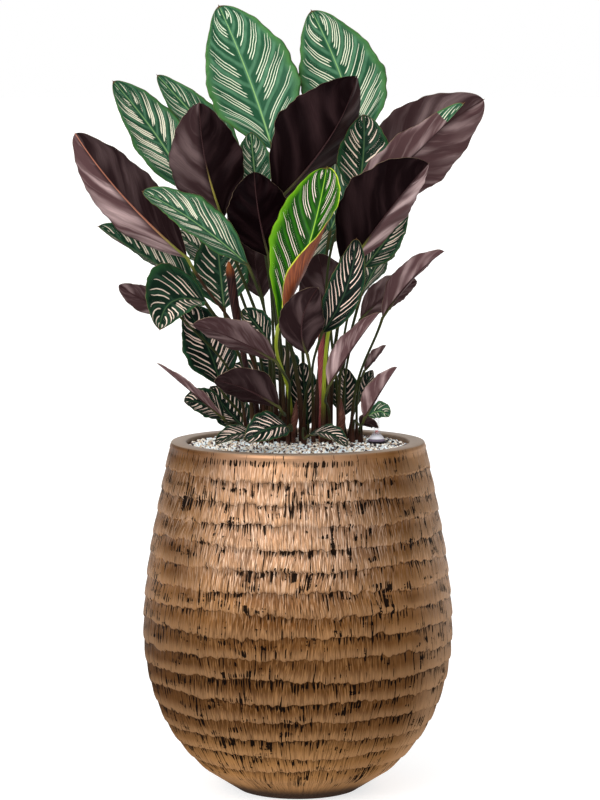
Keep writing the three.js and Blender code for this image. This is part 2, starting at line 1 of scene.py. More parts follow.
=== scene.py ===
"""Looks of the potted calathea sanderiana: a tall prayer plant in a round banded bronze planter.

Metres, +Z up, with the origin at the centre of the planter's foot and -Y towards the front.
Shapes are computed in millimetres and scaled once, where a mesh is made.
"""

import logging
import math
from collections.abc import Callable
from dataclasses import astuple, dataclass, field
from enum import Enum
from itertools import combinations

import bpy
import numpy as np
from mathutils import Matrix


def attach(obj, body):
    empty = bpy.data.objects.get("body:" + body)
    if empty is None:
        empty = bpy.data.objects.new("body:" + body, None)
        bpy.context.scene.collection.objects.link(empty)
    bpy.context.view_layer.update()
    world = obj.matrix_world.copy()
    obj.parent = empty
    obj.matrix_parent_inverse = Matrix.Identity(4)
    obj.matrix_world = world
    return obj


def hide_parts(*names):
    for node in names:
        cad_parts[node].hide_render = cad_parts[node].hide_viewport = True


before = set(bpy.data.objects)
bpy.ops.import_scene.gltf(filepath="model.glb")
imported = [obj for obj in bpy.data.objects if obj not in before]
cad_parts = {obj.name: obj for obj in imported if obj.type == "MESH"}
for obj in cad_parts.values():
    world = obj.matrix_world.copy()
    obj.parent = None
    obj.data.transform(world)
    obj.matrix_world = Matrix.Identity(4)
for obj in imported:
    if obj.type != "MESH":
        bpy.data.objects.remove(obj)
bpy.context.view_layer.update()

log = logging.getLogger("calathea")
logging.basicConfig(level=logging.INFO, format="%(message)s")

MM = 0.001
Array = np.ndarray
Material = bpy.types.Material
Point = tuple[float, float, float]
Colour = tuple[float, float, float, float]
Section = list[tuple[float, float]]


def srgb(red: float, green: float, blue: float) -> Colour:
    """Turns a colour read on a scale of 0 to 255 into the linear colour that a shader takes."""
    linear = [((c / 255 + 0.055) / 1.055) ** 2.4 if c > 10 else c / 255 / 12.92 for c in (red, green, blue)]
    return (linear[0], linear[1], linear[2], 1.0)


def vein_start(share: "Value | Array", out: "Value | Array") -> "Value | Array":
    """Gives where on the midrib the side vein through a point starts.

    Args:
        share: how far along the blade the point is.
        out: how far out from the midrib it is, from 0 to 1.

    Returns:
        The vein's start as a share of the blade's length.
    """
    return share - out ** 1.15 * (1 - share * 0.35) * 0.45


# Materials


def arithmetic(operation: str) -> "Callable[[Value, Value | float], Value]":
    """Gives the method of Value that does one kind of arithmetic with another value or number."""
    return lambda self, other: self.graph.maths(operation, self, other)


@dataclass(frozen=True)
class Value:
    """A number, a place or a colour that varies over a surface: the output of a node."""

    graph: "Graph"
    socket: bpy.types.NodeSocket

    __add__, __sub__, __mul__, __truediv__, __pow__ = map(
        arithmetic, ("ADD", "SUBTRACT", "MULTIPLY", "DIVIDE", "POWER"))

    def __rsub__(self, other: float) -> "Value":
        """Gives the difference from a plain number."""
        return self.graph.maths("SUBTRACT", other, self)

    def __abs__(self) -> "Value":
        """Gives the size without the sign."""
        return self.graph.maths("ABSOLUTE", self)

    def step(self, low: float, high: float) -> "Value":
        """Rises smoothly from 0 at low to 1 at high, or falls where low is the larger."""
        limits = {0: self, 1: low, 2: high}
        return self.graph.value("MapRange", limits, interpolation_type="SMOOTHSTEP")


class Graph:
    """A tree of nodes, written as formulas instead of as single nodes."""

    def __init__(self, tree: bpy.types.NodeTree) -> None:
        """Keeps the tree that takes the nodes."""
        self.tree = tree

    def feed(self, source: "Value | float | Colour", target: bpy.types.NodeSocket) -> None:
        """Links a value into a socket, or sets the socket to a plain number or colour.

        Args:
            source: what goes in.
            target: the socket that takes it.
        """
        if isinstance(source, Value):
            self.tree.links.new(source.socket, target)
        else:
            target.default_value = source

    def value(self, kind: str, inputs: "dict[int | str, Value | float | Colour]", output: int | str = 0,
              **options: str) -> Value:
        """Adds a node.

        Args:
            kind: its type, without the word ShaderNode.
            inputs: what goes into its sockets, by their numbers or names.
            output: the number or name of the socket that gives the result.
            options: its further settings.

        Returns:
            The result.
        """
        node = self.tree.nodes.new(f"ShaderNode{kind}")
        for name, option in options.items():
            setattr(node, name, option)
        for socket, source in inputs.items():
            self.feed(source, node.inputs[socket])
        return Value(self, node.outputs[output])

    def maths(self, operation: str, *inputs: "Value | float") -> Value:
        """Adds one step of arithmetic on one or two numbers."""
        return self.value("Math", dict(enumerate(inputs)), operation=operation)

    def blend(self, share: Value, first: "Value | Colour", second: "Value | Colour") -> Value:
        """Blends two colours: a share of 0 gives the first and 1 the second."""
        return self.value("Mix", {0: share, 6: first, 7: second}, 2, data_type="RGBA")

    def coats(self, ground: "Value | Colour", *coats: "tuple[Value, Value | Colour]") -> Value:
        """Lays coats of colour over a ground, one after the other.

        Args:
            ground: the colour below.
            coats: how much of each coat covers what lies under it, and its colour.

        Returns:
            The colour that shows.
        """
        for share, coat in coats:
            ground = self.blend(share, ground, coat)
        return ground

    def vector(self, x: "Value | float", y: "Value | float", z: "Value | float") -> Value:
        """Puts three numbers together as a place."""
        return self.value("CombineXYZ", {0: x, 1: y, 2: z})

    def parts(self, place: Value) -> list[Value]:
        """Takes a place or a draw apart into its three numbers."""
        separate = self.value("SeparateXYZ", {0: place}).socket.node
        return [Value(self, socket) for socket in separate.outputs]

    def attribute(self, name: str) -> list[Value]:
        """Reads three numbers that the mesh carries at each of its points."""
        return self.parts(self.value("Attribute", {}, "Vector", attribute_name=name))

    def place(self, kind: str = "Object") -> Value:
        """Gives the object's own coordinates, or for a sky the direction."""
        return self.value("TexCoord", {}, kind)

    def draws(self, place: Value) -> list[Value]:
        """Gives three random numbers between 0 and 1 that hold for one place."""
        return self.parts(self.value("TexWhiteNoise", {"Vector": place}, "Color"))

    def noise(self, place: Value, scale: float = 1.0, detail: float = 2.0, roughness: float = 0.5) -> Value:
        """Gives a cloudy pattern around 0.5.

        Args:
            place: where it is read.
            scale: its blotches for each unit.
            detail: how many finer layers it has.
            roughness: how strong those are.

        Returns:
            A number between 0 and 1.
        """
        inputs = {"Vector": place, "Scale": scale, "Detail": detail, "Roughness": roughness}
        return self.value("TexNoise", inputs)


class Finish(Graph):
    """One material."""

    def __init__(self, name: str) -> None:
        """Starts the material with a plain shader.

        Args:
            name: its name.
        """
        self.material = bpy.data.materials.new(name)
        self.material.use_nodes = True
        super().__init__(self.material.node_tree)

    def done(self, colour: Value, roughness: "Value | float", height: Value, depth: float,
             **shine: "Value | float") -> Material:
        """Feeds the shader.

        Args:
            colour: the base colour.
            roughness: how matt the surface is.
            height: its fine relief, about 0 to 1.
            depth: how deep that relief is, in millimetres.
            shine: further sockets of the shader by name, with _ for a space.

        Returns:
            The material.
        """
        bump = self.value("Bump", {"Height": height, "Distance": depth * MM})
        sockets = self.tree.nodes["Principled BSDF"].inputs
        for name, value in {"Base Color": colour, "Roughness": roughness, "Normal": bump, **shine}.items():
            self.feed(value, sockets[name.replace("_", " ")])
        return self.material


class LeafFinish(Finish):
    """A material of a leaf, with the numbers that each point of a leaf carries.

    They are its share of the blade's length, its side from -1 to 1 and the blade's reach there, in
    millimetres; the room of the veins, the leaf's seed and its groups of stripes; and how far it has
    risen (0 to 1 on the stalk, 1 to 2 on the blade), how lit the leaf is painted, and the look of its
    stalk.
    """

    RIB_WIDTH = 0.9

    def __init__(self, name: str) -> None:
        """Starts the material and reads the numbers.

        Args:
            name: its name.
        """
        super().__init__(name)
        self.share, self.across, self.reach = self.attribute("blade")
        self.room, self.seed, self.groups = self.attribute("vein")
        self.rise, self.tone, self.look = self.attribute("growth")
        self.out = abs(self.across)
        self.right = self.maths("GREATER_THAN", self.across, 0.0)
        self.start = vein_start(self.share, self.out)
        self.from_rib = self.reach * self.out - (1 - self.share) * self.RIB_WIDTH
        self.from_edge = self.reach - self.reach * self.out

    def cloud(self, x: "Value | float", y: "Value | float", detail: float = 2.0) -> Value:
        """Gives a cloudy pattern that differs from leaf to leaf."""
        return self.noise(self.vector(x, y, self.seed), detail=detail)

    def toned(self, shaded: Colour, lit: Colour) -> Value:
        """Gives a colour between that of a shaded and that of a lit leaf."""
        return self.blend(self.tone, shaded, lit)

    def brown_look(self) -> Value:
        """Gives 1 on leaves with a brown stalk, and 0 on others."""
        return self.look.step(0.3, 0.5) * self.look.step(0.9, 0.6)


@dataclass(frozen=True)
class BladeColours:
    """The colours of a blade's upper side as painted in one light; the pleat colour is a painted highlight
    on the pleats.
    """

    band: Colour
    pleat_highlight: Colour
    edge: Colour
    line: Colour
    rib: Colour


# painted light: lit and shaded copies of the same greens
LIT_GREEN = BladeColours(srgb(36, 80, 54), srgb(82, 128, 96), srgb(70, 118, 60), srgb(228, 238, 208),
                         srgb(140, 180, 112))
SHADED_GREEN = BladeColours(srgb(2, 13, 9), srgb(12, 36, 26), srgb(18, 54, 30), srgb(240, 212, 196),
                            srgb(34, 54, 32))
FRESH_GREEN = BladeColours(srgb(12, 56, 0), srgb(36, 94, 4), srgb(84, 138, 8), srgb(246, 228, 216),
                           srgb(136, 176, 50))


@dataclass(frozen=True)
class Stripe:
    """One of the pale lines in a group.

    It has its place across the group, from 0 to 1, the share of groups that lack it on shaded and on
    lit leaves, and how many millimetres wide a group must be to have it.
    """

    place: float
    lacking_shaded: float
    lacking_lit: float
    needs: float


@dataclass(frozen=True)
class StripedSide:
    """A striped upper side: groups of pale lines along the side veins, on dark green with a painted paler
    highlight on the pleats.

    The rim is the thin coloured edge: how many millimetres it reaches, and how strong it is on the
    left half. The lines start and end at shares of the way from the midrib to the edge.
    """

    name: str
    lit: BladeColours
    shaded: BladeColours
    rim: Colour
    gloss: float
    rim_reach: float = 0.65
    rim_left: float = 0.8
    thickness: float = 1.14
    stripes: tuple[Stripe, ...] = (Stripe(0.22, 0.0, 0.08, 4), Stripe(0.41, 0.85, 0.05, 12),
                                   Stripe(0.59, 0.7, 0.1, 10), Stripe(0.77, 0.12, 0.65, 6))
    first: float = 0.07
    last: float = 0.7
    dry_tip: Colour = srgb(96, 62, 34)

    def lines(self, g: LeafFinish, group: Value, inside: Value) -> Value:
        """Draws the pale lines.

        Args:
            g: the material.
            group: the number of the group.
            inside: the place across the group, from 0 to 1.

        Returns:
            1 on a line and 0 beside it.
        """
        pitch = g.room / g.groups
        lit = g.tone.step(0.28, 0.46)
        widest = g.maths("MINIMUM", pitch * 0.068, g.tone * -0.4 + self.thickness)
        lines: Value | float = 0.0
        for number, stripe in enumerate(self.stripes):
            chance, low, high = g.draws(g.vector(group, g.right, g.seed + 0.2 * number))
            start = low * 0.14 + self.first
            along = (g.out - start) / (high * 0.22 + self.last - start)
            taper = along.step(0.0, 0.10) * g.maths("MAXIMUM", 1 - along, 0.0) ** 0.4
            away = abs(inside - (low - 0.5) * 0.05 - stripe.place) * pitch
            line = (away - widest * taper).step(0.35, -0.35) * taper.step(0.02, 0.2)
            lacking = lit * (stripe.lacking_lit - stripe.lacking_shaded) + stripe.lacking_shaded
            wide_enough = pitch.step(stripe.needs * 0.85, stripe.needs * 1.1)
            shown = g.maths("GREATER_THAN", chance, lacking) * wide_enough
            lines = g.maths("MAXIMUM", line * shown, lines)
        return lines * pitch.step(3.0, 6.0) * g.start.step(-0.12, 0.0)

    def material(self) -> Material:
        """Builds the material.

        Returns:
            The material, which reads the blade's own coordinates.
        """
        g = LeafFinish(self.name)
        wobble = g.cloud(g.share * 6, g.across * 3) - 0.5
        t = g.start * g.groups + wobble * 0.16 + g.right * 0.45 + g.seed * 0.31
        group = g.maths("FLOOR", t)
        inside = t - group
        beads = g.cloud(t * 7, g.out * 46, 3.0)
        lines = self.lines(g, group, inside) * (beads * 0.4 + 0.74)
        # painted highlight: the pleats between the groups take the paler pleat colour; the dark band lies
        # inside each group
        trough = abs(inside - 0.5).step(0.47, 0.30) * g.out.step(0.95, 0.72) * g.out.step(0.015, 0.07)
        band, pleat_highlight, edge, line, rib = map(g.toned, astuple(self.shaded), astuple(self.lit))
        blotch = g.cloud(g.share * 9, g.across * 5, 3.0)
        rim = g.from_edge.step(self.rim_reach + 0.3, self.rim_reach - 0.3)
        colour = g.coats(
            pleat_highlight,
            (trough, band),
            (g.out.step(0.76, 0.97), edge),
            (blotch.step(0.35, 0.75) * 0.5, band),
            (lines, line),
            (g.from_rib.step(0.6, 0.1), rib),
            (rim * (g.right * (0.8 - self.rim_left) + self.rim_left), self.rim),
            (g.share.step(0.972, 0.99), self.dry_tip))
        streaks = g.cloud(t * 11, g.out * 3)
        height = streaks * 0.5 + trough * -0.35 + lines * 0.15 + beads * 0.2
        return g.done(colour, streaks * 0.16 + self.gloss, height, 0.9, Specular_IOR_Level=0.1)


@dataclass(frozen=True)
class Underside:
    """The maroon underside, with a painted pinkish sheen on its large soft folds.

    Each pair has the colour on shaded and on lit leaves, and for the rib on others and on brown stalks.
    """

    deep: tuple[Colour, Colour] = (srgb(5, 0, 1), srgb(84, 60, 61))
    # pale: the colour of the painted sheen
    pale: tuple[Colour, Colour] = (srgb(50, 31, 33), srgb(198, 172, 170))
    rib: tuple[Colour, Colour] = (srgb(40, 22, 22), srgb(160, 104, 84))
    rim: Colour = srgb(150, 128, 104)

    def material(self) -> Material:
        """Builds the material.

        Returns:
            The material, which reads the blade's own coordinates.
        """
        g = LeafFinish("leaf_underside")
        wobble = g.cloud(g.share * 5, g.across * 2.4) - 0.5
        t = g.start * g.groups + wobble * 0.5 + g.right * 3.3
        folds = g.cloud(t * 0.75, g.out * 0.8, 1.0)
        pleats = g.noise(g.vector(t * 2.2, g.out * 1.2, g.seed + 7))
        streaks = g.cloud(t * 11, g.out * 2.5, 3.0)
        # painted sheen: paler where the folds and pleats would catch the light, more on lit leaves
        light = (folds.step(0.44, 0.74) * 0.8 + pleats.step(0.52, 0.76) * 0.3) * (g.tone * 0.5 + 0.5)
        deep = g.toned(*self.deep)
        colour = g.coats(
            deep,
            (light, g.toned(*self.pale)),
            (streaks.step(0.4, 0.75) * 0.3, deep),
            (g.from_rib.step(0.8, 0.1), g.blend(g.brown_look(), *self.rib)),
            (g.from_edge.step(0.8, 0.3) * 0.6, self.rim))
        height = folds * 1.5 + pleats * 0.6 + streaks * 0.25
        return g.done(colour, streaks * 0.2 + 0.42, height, 1.6, Specular_IOR_Level=0.02)


@dataclass(frozen=True)
class RolledBack:
    """The back of the leaf that is still opening: orange brown, with a yellow-green edge."""

    dark: Colour = srgb(84, 34, 16)
    light: Colour = srgb(134, 68, 32)
    edge: Colour = srgb(196, 206, 60)

    def material(self) -> Material:
        """Builds the material.

        Returns:
            The material, which reads the blade's own coordinates.
        """
        g = LeafFinish("fresh_leaf_back")
        streaks = g.cloud(g.start * g.groups * 8, g.out * 3, 3.0)
        colour = g.coats(self.dark, (streaks.step(0.35, 0.7), self.light),
                         (g.from_edge.step(2.4, 0.8), self.edge))
        return g.done(colour, 0.42, streaks, 0.6, Specular_IOR_Level=0.3)


@dataclass(frozen=True)
class StalkSkin:
    """Stalks: brown sheath at the foot, the leaf's own look above, and paler where the blade joins.

    The first five pairs have the darkest and the lightest streaks. The last two have the colour of an
    olive and of a yellow neck, and of the rib on others and on brown stalks.
    """

    brown: tuple[Colour, Colour] = (srgb(28, 17, 13), srgb(74, 50, 34))
    olive: tuple[Colour, Colour] = (srgb(20, 25, 12), srgb(58, 64, 32))
    yellow: tuple[Colour, Colour] = (srgb(112, 132, 26), srgb(176, 186, 62))
    sheath: tuple[Colour, Colour] = (srgb(22, 11, 10), srgb(74, 46, 34))
    neck: tuple[Colour, Colour] = (srgb(66, 66, 34), srgb(150, 160, 70))
    rib: tuple[Colour, Colour] = (srgb(50, 30, 31), srgb(150, 98, 78))
    gold_rib: Colour = srgb(140, 128, 58)

    def material(self) -> Material:
        """Builds the material.

        Returns:
            The material, which reads how far up the stalk a point is.
        """
        g = LeafFinish("leaf_stalk")
        rise, look = g.rise, g.look
        streaks = g.cloud(g.across * 9, rise * 5, 3.0)
        brown, olive, yellow, sheath = (g.blend(streaks, *pair)
                                        for pair in (self.brown, self.olive, self.yellow, self.sheath))
        gold = abs(look - StalkLook.GOLD_RIB.value).step(0.2, 0.05) * rise.step(1.5, 1.15)
        rib = g.coats(self.rib[0], (g.brown_look(), self.rib[1]), (gold, self.gold_rib))
        colour = g.coats(
            olive,
            (look.step(0.3, 0.5), brown),
            (look.step(0.5, 1.0), yellow),
            (rise.step(0.30, 0.05), sheath),
            (rise.step(0.88, 0.98) * 0.7, g.blend(look.step(0.0, 0.9), *self.neck)),
            (rise.step(1.05, 1.3), rib))
        return g.done(colour, streaks * 0.2 + 0.38, streaks, 0.5, Specular_IOR_Level=0.08)


@dataclass(frozen=True)
class SheathSkin:
    """Rolled young leaves: a dry sheath colour at each end and another between."""

    name: str
    ends: Colour
    middle: Colour
    streak: Colour

    def material(self) -> Material:
        """Builds the material.

        Returns:
            The material, which reads how far up the roll a point is.
        """
        g = LeafFinish(self.name)
        streaks = g.noise(g.vector(g.across * 14, g.rise * 3, 1.0), detail=3.0)
        colour = g.coats(self.middle, (abs(g.rise - 1.0).step(0.84, 1.0), self.ends),
                         (streaks.step(0.45, 0.7), self.streak))
        return g.done(colour, 0.42, streaks, 0.7, Specular_IOR_Level=0.08)


@dataclass(frozen=True)
class BronzeSkin:
    """The planter: combed bronze bands with dark patinated streaks and painted light and shade, a smooth
    taupe rim and a dark foot.
    """

    dull: Colour = srgb(92, 58, 28)
    bright: Colour = srgb(130, 90, 52)
    front_highlight: Colour = srgb(182, 146, 120)
    right_rim_light: Colour = srgb(196, 158, 124)
    foot_bounce_light: Colour = srgb(162, 118, 72)
    low_shade: Colour = srgb(64, 39, 17)
    left_shade: Colour = srgb(50, 29, 12)
    side_shade: Colour = srgb(84, 54, 28)
    band_lower_light: Colour = srgb(172, 134, 98)
    under_lip_shade: Colour = srgb(72, 44, 22)
    lip_shadow: Colour = srgb(44, 28, 16)
    groove: Colour = srgb(62, 38, 20)
    low_ridge: Colour = srgb(158, 116, 74)
    upper_ridge_highlight: Colour = srgb(210, 180, 156)
    black_stroke: Colour = srgb(9, 6, 5)
    foot: Colour = srgb(46, 32, 24)
    rim: Colour = srgb(148, 128, 110)
    speckle: Colour = srgb(96, 80, 64)

    def patina_and_painted_light(self, g: Finish, x: Value, y: Value, z: Value, front: Value) -> Value:
        """Gives the bronze under its combing: its own patchy tone, with painted highlights and painted
        shade from zone to zone.

        Args:
            g: the material.
            x: how far to the right a point is.
            y: how far back it is.
            z: how high it is.
            front: 1 in the zone at the front, where a highlight is painted.

        Returns:
            The colour.
        """
        large = g.noise(g.vector(x, y, z * 0.8), 0.011, 3.0, 0.6)
        return g.coats(
            self.dull,
            (large.step(0.36, 0.64), self.bright),
            # painted highlight: paler pinkish bronze on the upper front
            (front * z.step(270, 380) * 0.42, self.front_highlight),
            # painted shade: darker low on the body
            (z.step(310, 200) * z.step(40, 95) * 0.8, self.low_shade),
            # painted shadow: darker at the lower left
            (z.step(330, 200) * z.step(40, 120) * x.step(20, -160) * 0.6, self.left_shade),
            # painted light: paler gold low on the body, as light bounced from the floor
            (z.step(135, 60) * 0.5, self.foot_bounce_light),
            # painted shade: darker at the middle right and at the far left
            (x.step(40, 100) * x.step(190, 140) * 0.35, self.side_shade),
            (x.step(-120, -175) * 0.3, self.side_shade),
            # painted light: paler bronze at the far right edge
            (x.step(140, 195) * 0.4, self.right_rim_light))

    def material(self) -> Material:
        """Builds the material.

        Returns:
            The material, which reads the combed coordinates and the place in the band.
        """
        g = Finish("planter_bronze")
        x, y, z = g.attribute("comb")
        fraction, combed, zone = g.attribute("band")
        patch = g.noise(g.vector(x + 900, y, z * 2.4), 0.022, 3.0, 0.6)
        fine = g.noise(g.vector(x, y, z * 0.07), 0.46, 2.0, 0.6)
        finer = g.noise(g.vector(x, y + 400, z * 0.08), 0.7, 1.0)
        stroke = g.noise(g.vector(x - 700, y, z * 0.08), 0.46, 1.0, 0.4)
        spread = g.noise(g.vector(x, y + 300, z * 1.6), 0.016)
        speckle = g.noise(g.vector(x, y, z), 0.5, 4.0)
        # the front zone, where a highlight is painted on and the combing shows most
        front = x.step(-175, -85) * x.step(150, 50) * y.step(0, -80)
        patches = g.noise(g.vector(x + 500, y, z * 0.9), 0.009, 1.0).step(0.4, 0.65) * 0.6
        # how strongly the combing shows: in random patches, and most in the front zone where the highlight
        # is painted
        combing_and_highlight = (g.maths("MAXIMUM", front, patches) * 0.8 + 0.15) * combed
        near_lip = fraction.step(0.55, 0.05) * spread.step(0.40, 0.58)
        under_rim = abs(z - 484).step(6, 2.0) * spread.step(0.56, 0.44) * 0.9
        cluster = g.maths("MAXIMUM", near_lip, patch.step(0.49, 0.36)) * combed
        strokes = (stroke + g.maths("MAXIMUM", cluster, under_rim) * 0.18).step(0.675, 0.70)
        upper = z.step(235, 365)
        smooth = abs(zone).step(0.2, 0.8)
        plain = g.coats(self.foot, (zone.step(-0.5, 0.5), self.rim),
                        (speckle.step(0.4, 0.7) * 0.25, self.speckle))
        # pale comb ridges, with a painted highlight on them in the upper part
        ridge = g.blend(upper, self.low_ridge, self.upper_ridge_highlight)
        colour = g.coats(
            self.patina_and_painted_light(g, x, y, z, front),
            # painted light: the lower, upward-facing part of each band paler
            (fraction.step(0.35, 0.95) * 0.3 * combed, self.band_lower_light),
            # painted shade: the top of each band darker under the lip above
            (fraction.step(0.5, 0.0) * 0.35 * combing_and_highlight, self.under_lip_shade),
            (fine.step(0.50, 0.40) * combing_and_highlight * 0.55, self.groove),
            (finer.step(0.52, 0.62) * combing_and_highlight * (upper * 0.25 + 0.3), ridge),
            (strokes * 0.97, self.black_stroke),
            (fraction.step(0.07, 0.0) * spread.step(0.36, 0.56) * 0.6 * combed, self.lip_shadow),
            (smooth, plain))
        combs = (fine * 0.7 + finer * 0.3 - strokes * 0.35) * combing_and_highlight
        height = combs * (1 - smooth) + speckle * 0.06
        return g.done(colour, finer * 0.14 + strokes * 0.2 + 0.25, height, 2.6,
                      Metallic=z.step(150, 330) * 0.4 + 0.04, Specular_IOR_Level=0.0)


@dataclass(frozen=True)
class GravelSkin:
    """Angular stones in white, pale blue, cream, beige and purple brown.

    Each kind but the first has the two draws between which it takes over from the one before.
    """

    pale_blue: Colour = srgb(232, 246, 252)
    kinds: tuple[tuple[float, float, Colour], ...] = (
        (0.26, 0.30, srgb(244, 234, 216)), (0.54, 0.58, srgb(208, 186, 158)),
        (0.72, 0.75, srgb(108, 84, 80)), (0.84, 0.87, srgb(28, 18, 22)))
    white: Colour = srgb(255, 255, 255)
    fleck: Colour = srgb(84, 70, 60)

    def material(self) -> Material:
        """Builds the material.

        Returns:
            The material, which reads each stone's own draws.
        """
        g = Finish("gravel_stones")
        kind, light, fleck = g.attribute("stone")
        spots = g.noise(g.place(), 900.0, 3.0)
        colour = g.coats(
            self.pale_blue,
            *((kind.step(low, high), shade) for low, high, shade in self.kinds),
            (light * kind.step(0.72, 0.5) * 0.6, self.white),
            (spots.step(0.5, 0.7) * fleck * 0.5, self.fleck))
        return g.done(colour, spots * 0.2 + 0.55, spots, 0.3)


@dataclass(frozen=True)
class PlainSkin:
    """A plain material with a little mottling: moulded plastic, granulate or the studio floor."""

    name: str
    colour: Colour
    mottle: Colour
    roughness: float
    grain: float = 300.0
    relief: float = 0.1
    shine: dict[str, float] = field(default_factory=dict)

    def material(self) -> Material:
        """Builds the material.

        Returns:
            The material.
        """
        g = Finish(self.name)
        mottle = g.noise(g.place(), self.grain, 3.0)
        colour = g.blend(mottle.step(0.35, 0.7), self.colour, self.mottle)
        return g.done(colour, mottle * 0.12 + self.roughness, mottle, self.relief, **self.shine)


@dataclass(frozen=True)
class LayeredSkin:
    """Smooth plastic whose colour changes with the height: each layer starts at a height in metres.

    Above the height clear_from only the share clear of the light is held back.
    """

    name: str
    layers: tuple[tuple[float, Colour], ...]
    roughness: float
    clear_from: float = 0.0
    clear: float = 1.0

    def material(self) -> Material:
        """Builds the material.

        Returns:
            The material.
        """
        g = Finish(self.name)
        place = g.place()
        height = g.parts(place)[2]
        soft_edge, clear_edge = 0.0004, 0.003
        (_, ground), *rest = self.layers
        colour = g.coats(ground, *((height.step(start - soft_edge, start + soft_edge), layer)
                                   for start, layer in rest))
        shine = {}
        if self.clear < 1:
            above = height.step(self.clear_from - clear_edge, self.clear_from + clear_edge)
            shine["Alpha"] = above * (self.clear - 1) + 1
        return g.done(colour, self.roughness, g.noise(place, 400.0), 0.03, **shine)


# Meshes


def triple(x: Array | float, y: Array | float, z: Array | float) -> Array:
    """Puts three numbers together for each point, and spreads each over the points of the others."""
    return np.stack(np.broadcast_arrays(x, y, z), axis=-1)


def unit(vectors: Array) -> Array:
    """Scales vectors to a length of 1."""
    return vectors / np.maximum(np.linalg.norm(vectors, axis=-1, keepdims=True), 1e-9)


def aim(turn: float, rise: float) -> Point:
    """Gives the direction that points some degrees to the right of the front and some degrees up."""
    right, up = math.radians(turn), math.radians(rise)
    return (math.sin(right) * math.cos(up), -math.cos(right) * math.cos(up), math.sin(up))


def wave(turns: Array, start: Array | float = 0.0) -> Array:
    """Gives the height of a wave between -1 and 1 after a number of turns."""
    return np.sin(2 * np.pi * turns + start)


@dataclass
class Form:
    """A mesh in the making: points in millimetres, faces, their materials and what points carry."""

    points: list[Array] = field(default_factory=list)
    faces: list[tuple[int, ...]] = field(default_factory=list)
    looks: list[int] = field(default_factory=list)
    carried: dict[str, list[Array]] = field(default_factory=dict)
    count: int = 0

    def add_points(self, points: Array, **carried: Array) -> Array:
        """Adds a grid of points.

        Args:
            points: an array that ends in three coordinates.
            carried: for each name, the three numbers that each point carries.

        Returns:
            The points' numbers, in the grid's own shape.
        """
        flat = points.reshape(-1, 3)
        numbers = np.arange(self.count, self.count + len(flat)).reshape(points.shape[:-1])
        self.points.append(flat)
        self.count += len(flat)
        for name, values in carried.items():
            spread = np.broadcast_to(values, points.shape).reshape(-1, 3)
            self.carried.setdefault(name, []).append(spread)
        return numbers

    def add_grid(self, numbers: Array, look: int = 0, round_about: bool = False) -> None:
        """Adds the faces between the rows of a grid.

        Args:
            numbers: the points' numbers, in rows. Each face runs along a row first.
            look: the number of its material.
            round_about: whether the last column joins the first.
        """
        if round_about:
            numbers = np.concatenate([numbers, numbers[:, :1]], axis=1)
        near, far = numbers[:-1], numbers[1:]
        corners = np.stack([near[:, :-1], near[:, 1:], far[:, 1:], far[:, :-1]], axis=-1)
        self.add_faces(corners.reshape(-1, 4), look)

    def add_faces(self, corners: Array, look: int = 0) -> None:
        """Adds faces by the numbers of their corners, with the number of their material."""
        self.faces.extend(map(tuple, corners.tolist()))
        self.looks.extend([look] * len(corners))

    def piece(self, name: str, body: str, slot: str, nodes: list[str],
              materials: list[Material], smooth: bool = True) -> None:
        """Makes the object, and says what it rides on and stands for.

        Args:
            name: the piece's name.
            body: the body that it moves with.
            slot: the part's own material slot; not used.
            nodes: the solids that it stands for.
            materials: its materials, in the order of their numbers.
            smooth: whether it is shaded smooth.
        """
        mesh = bpy.data.meshes.new(name)
        mesh.from_pydata((np.concatenate(self.points) * MM).tolist(), [], self.faces)
        for material in materials:
            mesh.materials.append(material)
        mesh.polygons.foreach_set("material_index", self.looks)
        mesh.polygons.foreach_set("use_smooth", [smooth] * len(self.faces))
        for key, values in self.carried.items():
            layer = mesh.attributes.new(key, "FLOAT_VECTOR", "POINT")
            layer.data.foreach_set("vector", np.concatenate(values).astype(np.float32).ravel())
        mesh.update()
        thing = bpy.data.objects.new(name, mesh)
        bpy.context.scene.collection.objects.link(thing)
        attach(thing, body)
        if nodes:
            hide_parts(*nodes)
        log.info("%s: %d points, %d faces", name, self.count, len(self.faces))


# Leaves


class StalkLook(Enum):
    """The colour of a stalk between its foot and its blade."""

    OLIVE = 0.0
    GOLD_RIB = 0.25
    BROWN = 0.5
    YELLOW = 1.0


CLUMP_CENTRE = (0.0, 38.0)
CLUMP_DEPTH = 0.6
GRAVEL_TOP = 489.0
STALK_DEPTH = 24.0
STALK_FOOT_RISE = 6.0


@dataclass(frozen=True)
class Line:
    """A bent line with a direction and an upper side at each of its points."""

    place: Array
    along: Array
    up: Array

    @property
    def side(self) -> Array:
        """The direction to the right at each point."""
        return np.cross(self.along, self.up)

    def at(self, rows: slice | Array) -> "Line":
        """Gives the line through some of its points."""
        return Line(self.place[rows], self.along[rows], self.up[rows])

    def joined(self, other: "Line") -> "Line":
        """Gives this line with another at its end."""
        return Line(*(np.concatenate(pair) for pair in (
            (self.place, other.place), (self.along, other.along), (self.up, other.up))))


def carried_up(along: Array, start: int, first: Array) -> Array:
    """Carries an upward direction along a line, both ways from one of its points.

    Args:
        along: the line's direction at each point.
        start: the number of the point to start from.
        first: the upward direction there.

    Returns:
        The upward direction at each point, square to the line.
    """
    up = np.zeros_like(along)
    up[start] = unit(first - along[start] * first.dot(along[start]))
    for step, stop in ((1, len(along)), (-1, -1)):
        for i in range(start + step, stop, step):
            before = up[i - step]
            up[i] = unit(before - along[i] * before.dot(along[i]))
    return up


